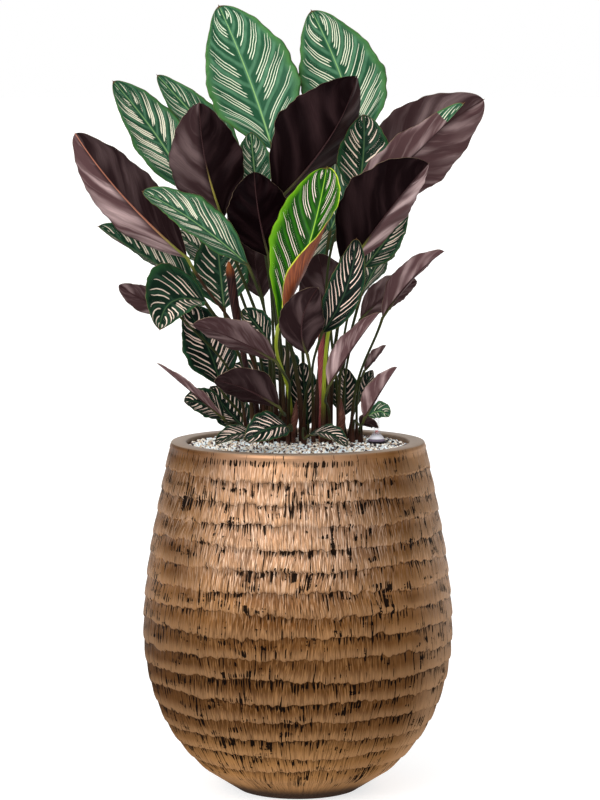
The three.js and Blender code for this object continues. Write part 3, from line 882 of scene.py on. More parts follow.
@dataclass(frozen=True)
class Shoot:
    """What every leaf has, open or rolled up.

    It has its name, its place in the clump, and the base, middle and tip of its blade's middle line.
    """

    name: str
    offset: tuple[float, float]
    base: Point
    middle: Point
    tip: Point

    @property
    def root(self) -> tuple[float, float]:
        """Where the stalk stands in the planter."""
        return (CLUMP_CENTRE[0] + self.offset[0], CLUMP_CENTRE[1] + CLUMP_DEPTH * self.offset[1])

    def midrib(self, share: Array, face: tuple[float, float]) -> Line:
        """Gives the middle line of the blade.

        Args:
            share: how far along it each point is.
            face: where its upper side looks: degrees to the right, and degrees up.

        Returns:
            The line.
        """
        base, middle, tip = (np.array(p, float) for p in (self.base, self.middle, self.tip))
        bend = 2 * middle - (base + tip) / 2
        t = share[:, None]
        place = (1 - t) ** 2 * base + 2 * t * (1 - t) * bend + t ** 2 * tip
        along = unit((1 - t) * (bend - base) + t * (tip - bend))
        return Line(place, along, carried_up(along, int(np.argmin(abs(share - 0.5))), np.array(aim(*face))))

    def stalk(self, share: Array, blade: Line) -> Line:
        """Gives the stalk: straight up for half its reach, then bending over into the blade.

        Args:
            share: how far up it each point is.
            blade: the middle line of the blade.

        Returns:
            The line, with one more point in front for its end in the granulate.
        """
        foot = np.array([*self.root, GRAVEL_TOP + STALK_FOOT_RISE])
        base = np.array(self.base, float)
        reach = float(np.linalg.norm(base - foot))
        risen = foot + [0, 0, 0.5 * reach]
        before = base - 0.28 * reach * unit(blade.along[0] + [0, 0, 0.9])
        t = share[:, None]
        u = 1 - t
        place = u ** 3 * foot + 3 * t * u ** 2 * risen + 3 * t ** 2 * u * before + t ** 3 * base
        along = unit(u ** 2 * (risen - foot) + 2 * t * u * (before - risen) + t ** 2 * (base - before))
        stem = Line(place, along, carried_up(along, len(share) - 1, blade.up[0]))
        buried = Line(np.array([[*foot[:2], GRAVEL_TOP - STALK_DEPTH]]), stem.along[:1], stem.up[:1])
        return buried.joined(stem)

    @staticmethod
    def add_tube(form: Form, line: Line, radius: Array, look: int, sides: int,
                 **carried: Array) -> None:
        """Adds a closed tube round a line.

        Args:
            form: takes the tube.
            line: its middle.
            radius: how thick it is at each point, or at each point and side.
            look: the number of its material.
            sides: how many sides it has.
            carried: what its points carry, in the shape of rows by sides by three.
        """
        angle = np.linspace(0, 2 * np.pi, sides, endpoint=False)[:, None]
        outward = line.side[:, None] * np.cos(angle) + line.up[:, None] * np.sin(angle)
        rings = line.place[:, None] + outward * np.asarray(radius).reshape(len(line.place), -1, 1)
        numbers = form.add_points(rings, **carried)
        form.add_grid(numbers[:, ::-1], look, round_about=True)
        form.add_faces(numbers[0][None, :], look)
        form.add_faces(numbers[-1][None, ::-1], look)


@dataclass(frozen=True)
class Leaf(Shoot):
    """An open leaf on its stalk: pleated blade, midrib and sheath in one piece.

    After the shape come the roll of the right half in degrees, how lit the leaf is painted, the look of
    its stalk, how much more lit its right half is painted (the left half where it is negative), and the
    share of its length past which the back shows the upper side.
    """

    width: float
    face: tuple[float, float]
    fold: float
    curl: float
    wave: float
    roll: float = 0.0
    tone: float | None = None
    look: StalkLook = StalkLook.OLIVE
    lit_half: float = 0.0
    turned_tip: float = 1.0

    SEED = 700
    LARGE = 84.0
    LARGE_GRID = (92, 18)
    SMALL_GRID = (54, 11)
    SKIN = 0.7
    TIP_ROUNDING = 0.42
    STALK_ROWS, STALK_SIDES = 26, 10
    PLEAT_DEPTH, FOLD_DEPTH = 0.8, 1.3
    RUFFLES = (6, 11, 17)
    UNDERSIDE_TONE = 0.22
    # painted light: leaves lower in the plant are painted shaded, higher ones lit
    DARK_HEIGHT, BRIGHT_HEIGHT = 640, 980
    DARKEST, BRIGHTEST = 0.02, 0.85

    @property
    def stalk_radius(self) -> float:
        """How thick the stalk is at the blade, from its middle."""
        return 1.3 + self.width / 110

    @property
    def foot_radius(self) -> float:
        """How thick the stalk is where it comes out of the granulate."""
        return 1.9 * self.stalk_radius

    @property
    def groups(self) -> float:
        """How many groups of stripes each half of the blade has."""
        return round(2.7 + math.dist(self.base, self.tip) / 46)

    @property
    def shows_back(self) -> bool:
        """Whether the leaf turns its underside to the front."""
        return abs(self.face[0]) > 90

    @property
    def painted_light_level(self) -> float:
        """How lit the blade is painted, from its height in the plant unless it is given."""
        if self.tone is not None:
            return self.tone
        if self.shows_back:
            return self.UNDERSIDE_TONE
        height = (self.middle[2] - self.DARK_HEIGHT) / (self.BRIGHT_HEIGHT - self.DARK_HEIGHT)
        return float(np.clip(height, self.DARKEST, self.BRIGHTEST))

    @property
    def slot_name(self) -> str:
        """The part's own material slot for this leaf."""
        if self.roll:
            return "leaf_fresh"
        return "leaf_dark" if self.shows_back else "leaf_green"

    def half_width(self, share: Array) -> Array:
        """Gives half the blade's width: a slim base, and a round end with a short drip tip.

        Args:
            share: how far along the blade each point is.

        Returns:
            Millimetres.
        """
        fullest = 0.55 if self.roll else 0.46
        stretch = math.log(0.5) / math.log(fullest)
        body = np.sin(np.pi * np.clip(share / 0.988, 0, 1) ** stretch) ** (1 - self.TIP_ROUNDING * share)
        spike = 0.055 * np.clip((1 - share) / 0.05, 0, 1)
        return self.width / 2 * np.maximum(body, spike * (share > 0.9))

    def section(self, line: Line, s: Array, across: Array, index: int,
                shift: Array) -> Array:
        """Gives the middle of the blade's skin, before its pleats.

        Args:
            line: the midrib.
            s: how far along the blade each row is.
            across: how far out each column is, from -1 to 1.
            index: the leaf's number, for the phase of its waves.
            shift: where the two waves of its outline start.

        Returns:
            The points, in rows and columns.
        """
        half = np.sign(across)
        edge = (1 + 0.022 * wave(4.3 * s, shift[0] + 2.4 * half)
                + 0.012 * wave(10.7 * s, shift[1] + half) * abs(across))
        reach = self.half_width(s) * edge
        rolled = self.roll * (1 - s * s) ** 3 * np.minimum(1, s / 0.2)
        turn = np.radians(self.curl + np.where(across > 0, rolled, 0))
        start = math.radians(self.fold)
        end = start + turn * abs(across)
        out = reach / turn * (np.sin(end) - math.sin(start)) * half
        rise = reach / turn * (math.cos(start) - np.cos(end))
        swing = wave(3 * s, 1.7 * index + 2.1 * across)
        rise = rise + self.wave * across ** 2 * swing * reach / (self.width / 2)
        side, up = line.side[:, None] * out[..., None], line.up[:, None] * rise[..., None]
        return line.place[:, None] + side + up

    @staticmethod
    def vein_room(skin: Array, s: Array, across: Array) -> Array:
        """Gives how many millimetres of skin one whole unit of the vein coordinate takes.

        Args:
            skin: the blade's points.
            s: how far along the blade each row is.
            across: how far out each column is.

        Returns:
            Millimetres, in rows and columns.
        """
        small = 0.001
        out = np.maximum(abs(across), small)
        w_s = (vein_start(s + small, out) - vein_start(s, out)) / small
        w_v = (vein_start(s, out + small) - vein_start(s, out)) / small * np.sign(across)
        by_s = np.gradient(skin, s[:, 0], axis=0)
        by_v = np.gradient(skin, across[0], axis=1)
        e, f, g = ((a * b).sum(-1) for a, b in ((by_s, by_s), (by_s, by_v), (by_v, by_v)))
        slope = (g * w_s ** 2 - 2 * f * w_s * w_v + e * w_v ** 2) / np.maximum(e * g - f * f, 1e-6)
        return np.clip(1 / np.sqrt(np.maximum(slope, 1e-9)), 5, 2000)

    def relief(self, s: Array, across: Array, room: Array, shift: Array,
               rng: np.random.Generator) -> Array:
        """Gives how far the skin rises: pleats between the veins, a ruffled edge and soft swells.

        Args:
            s: how far along the blade each row is.
            across: how far out each column is.
            room: how many millimetres of skin the vein coordinate takes.
            shift: where its waves start.
            rng: the source of its draws.

        Returns:
            Millimetres, in rows and columns.
        """
        out, half = abs(across), np.sign(across)
        reach = self.half_width(s)
        veins = vein_start(s, out) * self.groups + np.where(across > 0, 0.27, 0.0)
        beat = np.cos(2 * np.pi * veins * 1.5)
        if self.shows_back:
            beat = 0.2 * beat + wave(0.57 * veins, shift[0]) + 0.7 * np.sin(5.9 * veins + shift[1])
        space = np.clip(room / self.groups / 14, 0, 1) * np.clip(reach / 12, 0, 1)
        uneven = 0.75 + 0.35 * wave(2.3 * s, shift[2] + 1.9 * half)
        deepest = self.FOLD_DEPTH if self.shows_back else self.PLEAT_DEPTH
        depth = deepest * uneven * space * out ** 0.5 * (1 - out ** 6)
        ruffle = sum(wave(k * s, a + half * b) / k ** 0.5
                     for k, a, b in zip(self.RUFFLES, rng.uniform(0, 6, 3), rng.uniform(0, 3, 3)))
        swell = wave(1.7 * s + 0.5 * across, shift[3]) * 1.3
        loose = ruffle * out ** 5 * 1.3 + swell * out * (1 - out ** 2)
        return beat * depth + loose * np.clip(reach / 30, 0, 1)

    def build(self, index: int, materials: list[Material]) -> None:
        """Builds the leaf.

        Args:
            index: its number in the plant.
            materials: upper side, underside and stalk.
        """
        rng = np.random.default_rng(self.SEED + index)
        rows, half_columns = self.LARGE_GRID if self.width > self.LARGE else self.SMALL_GRID
        share = 0.006 + 0.993 * np.sin(np.linspace(0, np.pi / 2, rows)) ** 1.12
        half = np.linspace(0, 1, half_columns)
        s, across = share[:, None], np.concatenate([-half[:0:-1], half])[None, :]
        line = self.midrib(share, self.face)
        shift = rng.uniform(0, 6, 4)
        skin = self.section(line, s, across, index, shift)
        room = self.vein_room(skin, s, across)
        normal = unit(np.cross(np.gradient(skin, axis=1), np.gradient(skin, axis=0)))
        skin = skin + normal * self.relief(s, across, room, shift, rng)[..., None]
        thick = normal * (self.SKIN / 2 * (abs(across) < 1))[..., None]
        # painted light: one half of the blade is painted lighter, as if lit
        lit = np.clip(across * np.sign(self.lit_half) * 6, 0, 1)
        light = self.painted_light_level + 0.5 * abs(self.lit_half) * lit
        carried = {
            "blade": triple(s, across, self.half_width(s)),
            "vein": triple(room, float(index), self.groups),
            "growth": triple(2 + 0 * s, light, self.look.value)}
        form = Form()
        top = form.add_points(skin + thick, **carried)
        low = form.add_points((skin - thick)[:, 1:-1], **{key: k[:, 1:-1] for key, k in carried.items()})
        low = np.concatenate([top[:, :1], low, top[:, -1:]], axis=1)
        over = int(np.searchsorted(share, self.turned_tip)) - 1
        form.add_grid(top, 0)
        form.add_grid(low[:over + 1, ::-1], 1)
        form.add_grid(low[over:, ::-1], 0)
        form.add_grid(np.stack([low[0], top[0]]), 1)
        form.add_grid(np.stack([top[-1], low[-1]]), 1)
        self.add_stalk(form, line, share, index)
        form.piece(f"leaf_{self.name}_grown", "planter", self.slot_name, [f"leaf_{self.name}"], materials)

    def add_stalk(self, form: Form, line: Line, share: Array, index: int) -> None:
        """Adds the stalk, which runs on as the raised midrib under the blade.

        Args:
            form: takes the stalk.
            line: the midrib.
            share: how far along the blade each of its points is.
            index: the leaf's number.
        """
        rise = np.linspace(0, 1, self.STALK_ROWS)
        swollen = self.stalk_radius * (1 + 0.9 * (1 - rise) ** 6 + 0.25 * rise ** 12)
        picked = np.arange(2, len(share) - 2, 3)
        along = share[picked]
        rib = self.stalk_radius * (1 - along) ** 1.7 * 0.85 + 0.15
        under = line.at(picked)
        sunk = under.place - under.up * (rib * np.clip(along / 0.06, 0, 1) * 0.9)[:, None]
        whole = self.stalk(rise, line).joined(Line(sunk, under.along, under.up))
        how_far = np.concatenate([[0.0], rise, 1 + along])[:, None]
        around = np.linspace(0, 1, self.STALK_SIDES)[None, :]
        self.add_tube(form, whole, np.concatenate([swollen[:1], swollen, rib]), 2, self.STALK_SIDES,
                      blade=triple(how_far, around, 0), vein=triple(100 + 0 * around, index, 5),
                      growth=triple(how_far, self.painted_light_level, self.look.value))


@dataclass(frozen=True)
class Spear(Shoot):
    """A young leaf that is still rolled up, with its free edge winding round it."""

    thickness: float
    skin: SheathSkin
    taper: float = 0.09

    ROWS, STALK_ROWS, SIDES = 44, 20, 24

    @property
    def foot_radius(self) -> float:
        """How thick it is where it comes out of the granulate."""
        return self.thickness / 4

    def build(self, index: int) -> None:
        """Builds the spear.

        Args:
            index: its number in the plant.
        """
        share = np.linspace(0.0, 0.995, self.ROWS)
        rise = np.linspace(0, 1, self.STALK_ROWS)
        blade = self.midrib(share, (90, 0))
        line = self.stalk(rise, blade).joined(blade.at(slice(1, None)))
        swell = np.minimum(0.5 + 0.5 * np.sin(0.6 * np.pi * share), ((1 - share) / self.taper) ** 0.7)
        radii = np.concatenate([np.full(len(rise) + 1, self.foot_radius), self.thickness / 2 * swell[1:]])
        how_far = np.concatenate([[0.0], rise, 1 + share[1:]])[:, None]
        around = np.linspace(0, 1, self.SIDES, endpoint=False)[None, :]
        seam = (around + how_far * 1.3 + 0.21 * index) % 1
        rolled = radii[:, None] * (1 + 0.16 * (seam - 0.6) * np.clip(how_far - 0.6, 0, 1))
        form = Form()
        self.add_tube(form, line, rolled, 0, self.SIDES, blade=triple(0, seam, 0),
                      growth=triple(how_far, 0.5, 0))
        form.piece(f"spear_{self.name}_rolled", "planter", "leaf_dark", [f"spear_{self.name}"],
                   [self.skin.material()])


# Name, place in the clump, then base, middle and tip of the midrib, width, where the upper side looks,
# fold of each half, further curl to the edge and wave of the edge
LEAVES = (
    Leaf("top_left", (-14, 42), (-36, 55, 906), (-70, 60, 1009), (-112, 34, 1110),
         138, (8, 12), 10, 10, 3, tone=1),
    Leaf("top_right", (26, 52), (86, 84, 917), (62, 90, 1008), (18, 62, 1104),
         128, (-6, 12), 10, 10, 3, tone=0.9),
    Leaf("centre_dark", (6, 12), (-34, -24, 832), (44, -36, 924), (82, -24, 1011),
         152, (-150, 20), 28, 6, 2, tone=0.02, lit_half=-0.5),
    Leaf("left_upright", (-30, 14), (-104, -42, 812), (-128, -58, 894), (-136, -52, 974),
         108, (180, 15), 12, 8, 3, look=StalkLook.GOLD_RIB, lit_half=0.45, tone=0.03),
    Leaf("centre_small", (-20, 2), (-40, -62, 760), (-54, -78, 821), (-60, -76, 879),
         94, (180, 20), 10, 8, 2, tone=0.0),
    Leaf("left_long", (-46, 4), (-153, -70, 759), (-241, -92, 846), (-306, -98, 933),
         92, (180, 20), 15, 8, 3, look=StalkLook.BROWN, tone=0.12, lit_half=1.3),
    Leaf("right_small_green", (34, 26), (84, 22, 844), (92, 12, 901), (92, 6, 957),
         84, (5, 10), 20, 8, 2, tone=0.2),
    Leaf("right_far", (46, 34), (106, 34, 838), (174, 48, 913), (264, 36, 978),
         124, (180, 15), 8, 8, 3, tone=0.3, lit_half=-0.8),
    Leaf("right_folded", (44, 4), (74, -30, 836), (152, -38, 892), (232, -40, 974),
         74, (-130, 45), 50, 5, 2, tone=0.75, turned_tip=0.86),
    Leaf("right_low_dark", (36, -6), (64, -84, 741), (126, -104, 827), (180, -100, 891),
         132, (-150, 20), 28, 5, 2, look=StalkLook.YELLOW, tone=0.02, lit_half=-2.4),
    Leaf("front_striped", (22, -14), (33, -128, 659), (66, -142, 721), (80, -134, 790),
         56, (-5, 10), 25, 8, 2, tone=0.0),
    Leaf("new_fresh", (-8, -12), (-27, -118, 667), (14, -152, 777), (40, -112, 887),
         108, (-22, 5), 20, 14, 1, 220, tone=1, look=StalkLook.YELLOW),
    Leaf("left_striped", (-40, -10), (-68, -118, 751), (-140, -138, 811), (-212, -148, 854),
         76, (0, 50), 14, 8, 2, tone=0.62),
    Leaf("left_back_green", (-50, 36), (-152, 45, 844), (-199, 55, 924), (-262, 40, 1004),
         80, (10, 15), 10, 8, 3, tone=0.6),
    Leaf("left_back_far", (-34, 60), (-80, 96, 885), (-136, 105, 941), (-202, 92, 1013),
         62, (0, 20), 8, 8, 3),
    Leaf("centre_back", (-22, 30), (-56, 18, 839), (-62, 24, 886), (-66, 18, 932),
         56, (0, 10), 10, 8, 2),
    Leaf("left_hooked", (-62, 16), (-140, -22, 712), (-208, -42, 756), (-278, -60, 803),
         78, (-10, 55), 30, 8, 2),
    Leaf("left_cup", (-64, -4), (-128, -62, 696), (-173, -100, 700), (-188, -148, 664),
         108, (0, 30), 28, 12, 3),
    Leaf("left_low_dark", (-74, 12), (-172, -20, 682), (-215, -30, 698), (-250, -36, 720),
         40, (180, 10), 15, 5, 1, tone=0.4),
    Leaf("front_left_dark", (-14, -22), (-30, -148, 623), (-88, -168, 655), (-143, -178, 675),
         60, (170, 40), 15, 8, 2, tone=0.4),
    Leaf("front_left_low", (-28, -24), (-26, -118, 557), (-72, -140, 584), (-114, -158, 597),
         66, (175, 35), 15, 8, 2, tone=0.12),
    Leaf("front_dark", (8, -24), (13, -152, 632), (6, -176, 679), (28, -178, 725),
         66, (180, 15), 14, 8, 2, tone=0.11),
    Leaf("back_low_dark", (-4, 84), (-8, 112, 565), (-28, 134, 595), (-52, 142, 617),
         58, (0, 30), 12, 8, 2),
    Leaf("left_low_green", (-72, 36), (-110, 40, 571), (-130, 42, 631), (-160, 32, 686),
         84, (20, 8), 10, 8, 3),
    Leaf("left_edge_on", (-86, -8), (-105, -52, 536), (-150, -66, 575), (-196, -74, 614),
         44, (114, 51), 14, 5, 1, tone=0.9),
    Leaf("left_lowest", (-96, 14), (-104, -14, 530), (-132, -24, 551), (-160, -30, 556),
         52, (-10, 45), 12, 5, 1),
    Leaf("front_lowest", (-14, -62), (-14, -100, 527), (-40, -122, 527), (-72, -134, 510),
         56, (0, 45), 12, 8, 1),
    Leaf("front_left_lowest", (-52, -52), (-56, -84, 513), (-84, -104, 517), (-114, -116, 505),
         42, (-10, 60), 12, 5, 1),
    Leaf("front_right_lowest", (10, -64), (14, -98, 515), (42, -118, 519), (68, -134, 503),
         38, (10, 60), 14, 5, 1),
    Leaf("right_narrow", (76, -2), (118, -42, 674), (158, -52, 728), (204, -52, 768),
         50, (-150, 30), 40, 5, 2, tone=0.85),
    Leaf("right_behind", (64, 20), (88, 12, 668), (128, 6, 704), (168, -4, 723),
         50, (170, 30), 15, 5, 2, tone=0.5),
    Leaf("front_right_folded", (46, -34), (42, -122, 585), (72, -138, 635), (112, -140, 689),
         46, (-130, 35), 55, 5, 1, tone=0.85),
    Leaf("right_low_folded", (78, -34), (92, -98, 539), (112, -110, 574), (137, -112, 612),
         42, (-130, 30), 50, 5, 1, tone=0.85),
    Leaf("right_tiny", (84, 30), (94, 8, 596), (110, 2, 614), (124, -2, 633),
         26, (-140, 30), 30, 5, 1, tone=0.7),
    Leaf("right_low_green", (90, 0), (98, -18, 532), (114, -26, 541), (128, -32, 534),
         34, (20, 40), 10, 5, 1, tone=0.6),
    Leaf("right_lowest", (88, -14), (88, -22, 521), (98, -34, 526), (113, -40, 519),
         28, (170, 40), 10, 5, 1),
    Leaf("right_under", (58, 2), (92, -34, 744), (122, -40, 782), (152, -36, 828),
         46, (10, 20), 12, 8, 2, tone=0.2),
    Leaf("centre_low_green", (-38, -33), (-40, -84, 643), (-58, -96, 669), (-77, -102, 690),
         44, (0, 40), 12, 5, 1),
    Leaf("left_middle", (-54, 24), (-104, 20, 682), (-110, 26, 738), (-116, 20, 801),
         84, (5, 10), 10, 8, 2),
    Leaf("centre_shaded", (-30, 40), (-50, 36, 696), (-60, 33, 746), (-64, 27, 796),
         62, (180, 10), 12, 8, 2),
    Leaf("centre_low_back", (14, 66), (15, 79, 510), (10, 79, 555), (7, 78, 603),
         50, (0, 4), 12, 5, 1),
    Leaf("centre_small_back", (58, 34), (46, 24, 656), (38, 20, 708), (30, 16, 762),
         84, (170, 8), 12, 8, 2),
    Leaf("right_low_back", (68, 62), (66, 70, 525), (68, 72, 560), (68, 68, 595),
         44, (0, 8), 12, 5, 1),
    Leaf("back_high_left", (-24, 78), (-60, 118, 795), (-105, 145, 860), (-150, 150, 920),
         106, (25, 25), 12, 8, 3),
    Leaf("back_high_right", (40, 74), (46, 122, 785), (76, 148, 850), (112, 150, 905),
         104, (-25, 25), 12, 8, 3),
    Leaf("back_centre", (10, 86), (5, 120, 725), (8, 168, 790), (0, 185, 855),
         108, (0, 30), 14, 8, 3),
    Leaf("back_left", (-44, 74), (-85, 105, 705), (-132, 138, 750), (-180, 150, 785),
         86, (45, 30), 12, 8, 3),
    Leaf("back_right", (58, 78), (90, 100, 695), (118, 132, 745), (140, 140, 790),
         84, (-50, 30), 12, 8, 3),
    Leaf("back_low_left", (-62, 58), (-72, 66, 505), (-100, 78, 531), (-126, 86, 567),
         62, (20, 35), 12, 8, 2),
    Leaf("back_low_right", (74, 58), (84, 70, 541), (98, 92, 565), (108, 98, 589),
         42, (-50, 35), 12, 5, 1),
    Leaf("back_lowest", (-22, 100), (-40, 140, 545), (-66, 160, 571), (-100, 168, 585),
         56, (0, 35), 12, 8, 2),
)
BROWN_SHEATH = SheathSkin("brown_spear", srgb(150, 82, 38), srgb(26, 11, 12), srgb(58, 31, 27))
PINK_SHEATH = SheathSkin("pink_spear", srgb(96, 60, 34), srgb(128, 60, 62), srgb(168, 100, 88))
DRY_SHEATH = SheathSkin("dry_sheath", srgb(70, 42, 28), srgb(72, 42, 36), srgb(112, 76, 60))
SPEARS = (
    Spear("brown", (-56, -22), (-70, -66, 597), (-84, -70, 675), (-96, -72, 755), 13, BROWN_SHEATH),
    Spear("pink", (32, 10), (33, 40, 554), (33, 34, 606), (34, 30, 652), 11, PINK_SHEATH),
    Spear("low_left", (-6, -34), (-6, 10, 509), (-4, 8, 531), (-2, 6, 555), 12, DRY_SHEATH, 0.7),
    Spear("low_right", (62, -30), (62, 14, 509), (62, 12, 531), (61, 10, 557), 13, DRY_SHEATH, 0.7),
)


@dataclass
class Plant:
    """All leaves and spears."""

    leaves: tuple[Leaf, ...] = LEAVES
    spears: tuple[Spear, ...] = SPEARS
    grown_side: StripedSide = StripedSide(
        "leaf_upper_side", LIT_GREEN, SHADED_GREEN, srgb(112, 98, 60), 0.34)
    fresh_side: StripedSide = StripedSide(
        "fresh_leaf_upper_side", FRESH_GREEN, FRESH_GREEN, srgb(206, 218, 70), 0.26, rim_reach=1.5,
        rim_left=0.1, thickness=0.9, first=0.1,
        stripes=(Stripe(0.26, 0.0, 0.0, 4), Stripe(0.48, 0.0, 0.0, 7), Stripe(0.70, 0.5, 0.5, 10)))

    def build(self) -> None:
        """Builds them in order, with materials that they share."""
        stalk = StalkSkin().material()
        grown = [self.grown_side.material(), Underside().material(), stalk]
        opening = [self.fresh_side.material(), RolledBack().material(), stalk]
        for index, leaf in enumerate(self.leaves):
            leaf.build(index, opening if leaf.roll else grown)
        for index, spear in enumerate(self.spears):
            spear.build(index)


# Planter


@dataclass(frozen=True)
class Row:
    """One ring of the planter's points, as one number or one for each column.

    It carries its place in the band, from 0 at the top to 1 at the lip; how combed it is; its zone,
    which is -1 on the foot and 1 on the rim; and how far its combing leans, in millimetres.
    """

    radius: Array | float
    height: Array | float
    fraction: float = 0.5
    combed: float = 0.0
    zone: float = 0.0
    lean: Array | float = 0.0


@dataclass
class Planter:
    """The round planter: wavy combed bands that overlap downwards, a flat rim and a small foot.

    For each row of a band, band_rows has its share of the way down, how much of the step it lies
    inside, and how deep its combing is.
    """

    height: float = 497.0
    outline: tuple[tuple[float, float], ...] = (
        (84, 1), (108, 14), (150, 47), (188, 98), (212, 163), (220, 232), (214, 315), (200, 400),
        (184.5, 476), (180, 494))
    comb_radius: float = 200.0
    axis_gap: float = 2.0
    foot_radius: float = 82.0
    opening_radius: float = 157.0
    rim_radius: float = 178.0
    rim_depth: float = 26.0
    rim_bevel: float = 4.0
    wall: float = 13.0
    floor: float = 14.0
    first_band: float = 32.0
    band_pitch: float = 30.5
    band_count: int = 16
    band_step: float = 1.9
    band_notch: float = 2.0
    top_band_step: float = 0.6
    top_band_notch: float = 0.5
    band_wave: float = 3.2
    band_rows: tuple[tuple[float, float, float], ...] = (
        (1.0, 0.3, 0), (0.94, 0.0, 0.2), (0.66, 0.12, 0.4), (0.32, 0.5, 0.5), (0.0, 1.0, 0.3))
    cavity_heights: tuple[float, ...] = (14, 50, 105, 190, 300, 471)
    columns: int = 960
    seed: int = 5

    def __post_init__(self) -> None:
        """Measures the outline along its length."""
        points = np.array(self.outline, float)
        padded = np.concatenate([points[:1], points, points[-1:]])
        curve = []
        for i in range(len(points) - 1):
            a, b, c, d = padded[i:i + 4]
            t = np.linspace(0, 1, 400, endpoint=i == len(points) - 2)[:, None]
            pull, push = (c - a) / 2, (d - b) / 2
            cubic, square = 2 * b - 2 * c + pull + push, -3 * b + 3 * c - 2 * pull - push
            curve.append(cubic * t ** 3 + square * t ** 2 + pull * t + b)
        self._curve = np.concatenate(curve)[::-1]
        steps = np.linalg.norm(np.diff(self._curve, axis=0), axis=1)
        self._below = np.concatenate([[0], np.cumsum(steps)])
        self._normal = unit(np.gradient(self._curve, axis=0))[:, ::-1] * [1, -1]

    def at(self, below: Array | float, inward: Array | float) -> tuple[Array, Array]:
        """Gives a point by its distance from the rim along the outline.

        Args:
            below: how far below the rim it is.
            inward: how far inside the outline it lies.

        Returns:
            Its radius and height.
        """
        place, normal = ([np.interp(below, self._below, rows[:, k]) for k in (0, 1)]
                         for rows in (self._curve, self._normal))
        return place[0] + normal[0] * inward, place[1] + normal[1] * inward

    def cavity_radius(self, z: float) -> float:
        """Gives the radius of the inside.

        Args:
            z: the height to measure at.

        Returns:
            Millimetres.
        """
        radius, height = self.at(self._below, self.wall)
        order = np.argsort(height)
        return float(np.interp(z, height[order], radius[order]))

    def ragged(self, rng: np.random.Generator, grain: float) -> Array:
        """Gives a random wave round the planter.

        Args:
            rng: the source of its draws.
            grain: how many millimetres one of its waves takes.

        Returns:
            A number for each column, mostly between -1 and 1.
        """
        most = int(2 * math.pi * self.comb_radius / grain)
        waves = np.zeros(self.columns // 2 + 1, complex)
        lot = np.arange(1, min(most * 2, len(waves) - 1))
        strength = rng.normal(size=len(lot))
        waves[lot] = strength * np.exp(2j * np.pi * rng.random(len(lot))) * np.exp(-(lot / most) ** 2)
        found = np.fft.irfft(waves, self.columns)
        return found / (2 * found.std() + 1e-9)

    def lips(self, rng: np.random.Generator, angle: Array) -> list[Array | float]:
        """Gives where the bands end: wavy lips, and the plain one that ends the rim.

        Args:
            rng: the source of their raggedness.
            angle: where each column stands.

        Returns:
            For each, how far below the rim it is.
        """
        lips = []
        for n in range(-1, self.band_count):
            swing = np.sin(3 * angle + 1.9 * n) * 0.6 + np.sin(5 * angle - 2.7 * n) * 0.4
            plain = self.first_band + n * self.band_pitch + self.band_wave * swing
            lips.append(plain + self.ragged(rng, 26) * 1.6 + self.ragged(rng, 7) * 2.2)
        return [self.rim_bevel, *lips[1:]]

    def band(self, rng: np.random.Generator, above: Array | float, lip: Array,
             under_rim: bool) -> list[Row]:
        """Gives the rows of one band, from its lip up.

        Args:
            rng: the source of its combing.
            above: how far below the rim the band above it ends.
            lip: how far below the rim its own lip is.
            under_rim: whether it is the first band, which is nearly smooth.

        Returns:
            Its rows.
        """
        step = self.top_band_step if under_rim else self.band_step
        top = above + (self.top_band_notch if under_rim else self.band_notch)
        lean = self.ragged(rng, 70) * 0.3
        low_comb, high_comb = self.ragged(rng, 4.2), self.ragged(rng, 5)
        rows = []
        for share, inset, comb in self.band_rows:
            ridge = (low_comb * share + high_comb * (1 - share)) * comb
            inward = np.maximum(step * inset - ridge * 0.8 + comb, 0)
            combed = 0.15 + 0.85 * share if under_rim else 1.0
            rows.append(Row(*self.at(top + (lip - top) * share, inward), share, combed,
                            lean=lean * (share - 0.5) * 14))
        return rows

    def build(self) -> None:
        """Builds the planter from the middle of its foot, up the outside and down the inside."""
        rng = np.random.default_rng(self.seed)
        angle = np.linspace(-np.pi, np.pi, self.columns, endpoint=False)
        opening, top = self.opening_radius, self.height
        rows = [Row(self.axis_gap, 0, zone=-1), Row(self.foot_radius - 3, 0, zone=-1),
                Row(self.foot_radius, 0.6, zone=-1), Row(*self.at(self._below[-1] - 2, 0.0), zone=-1)]
        lips = self.lips(rng, angle)
        for n in range(self.band_count, 0, -1):
            rows += self.band(rng, lips[n - 1], lips[n], n == 1)
        rows += [Row(*self.at(self.rim_bevel, 0.0)), Row(self.rim_radius + 0.9, top - 0.9, zone=0.4),
                 Row(self.rim_radius, top, zone=1), Row(opening + 2.4, top, zone=1),
                 Row(opening + 0.6, top - 0.6, zone=1), Row(opening, top - 2.4, zone=1),
                 Row(opening, top - 5, zone=0.5), Row(opening, top - self.rim_depth)]
        rows += [Row(self.cavity_radius(z), z) for z in self.cavity_heights[::-1]]
        rows.append(Row(self.axis_gap, self.floor))
        radius, height, lean = (np.stack([np.broadcast_to(getattr(row, part), angle.shape) for row in rows])
                                for part in ("radius", "height", "lean"))
        turn = angle + lean / self.comb_radius
        form = Form()
        numbers = form.add_points(
            triple(radius * np.cos(angle), radius * np.sin(angle), height),
            comb=triple(self.comb_radius * np.cos(turn), self.comb_radius * np.sin(turn), height),
            band=np.array([[row.fraction, row.combed, row.zone] for row in rows])[:, None])
        form.add_grid(numbers, round_about=True)
        form.add_faces(numbers[0][None, ::-1])
        form.add_faces(numbers[-1][None, :])
        form.piece("planter_banded", "planter", "planter", ["pot"], [BronzeSkin().material()])


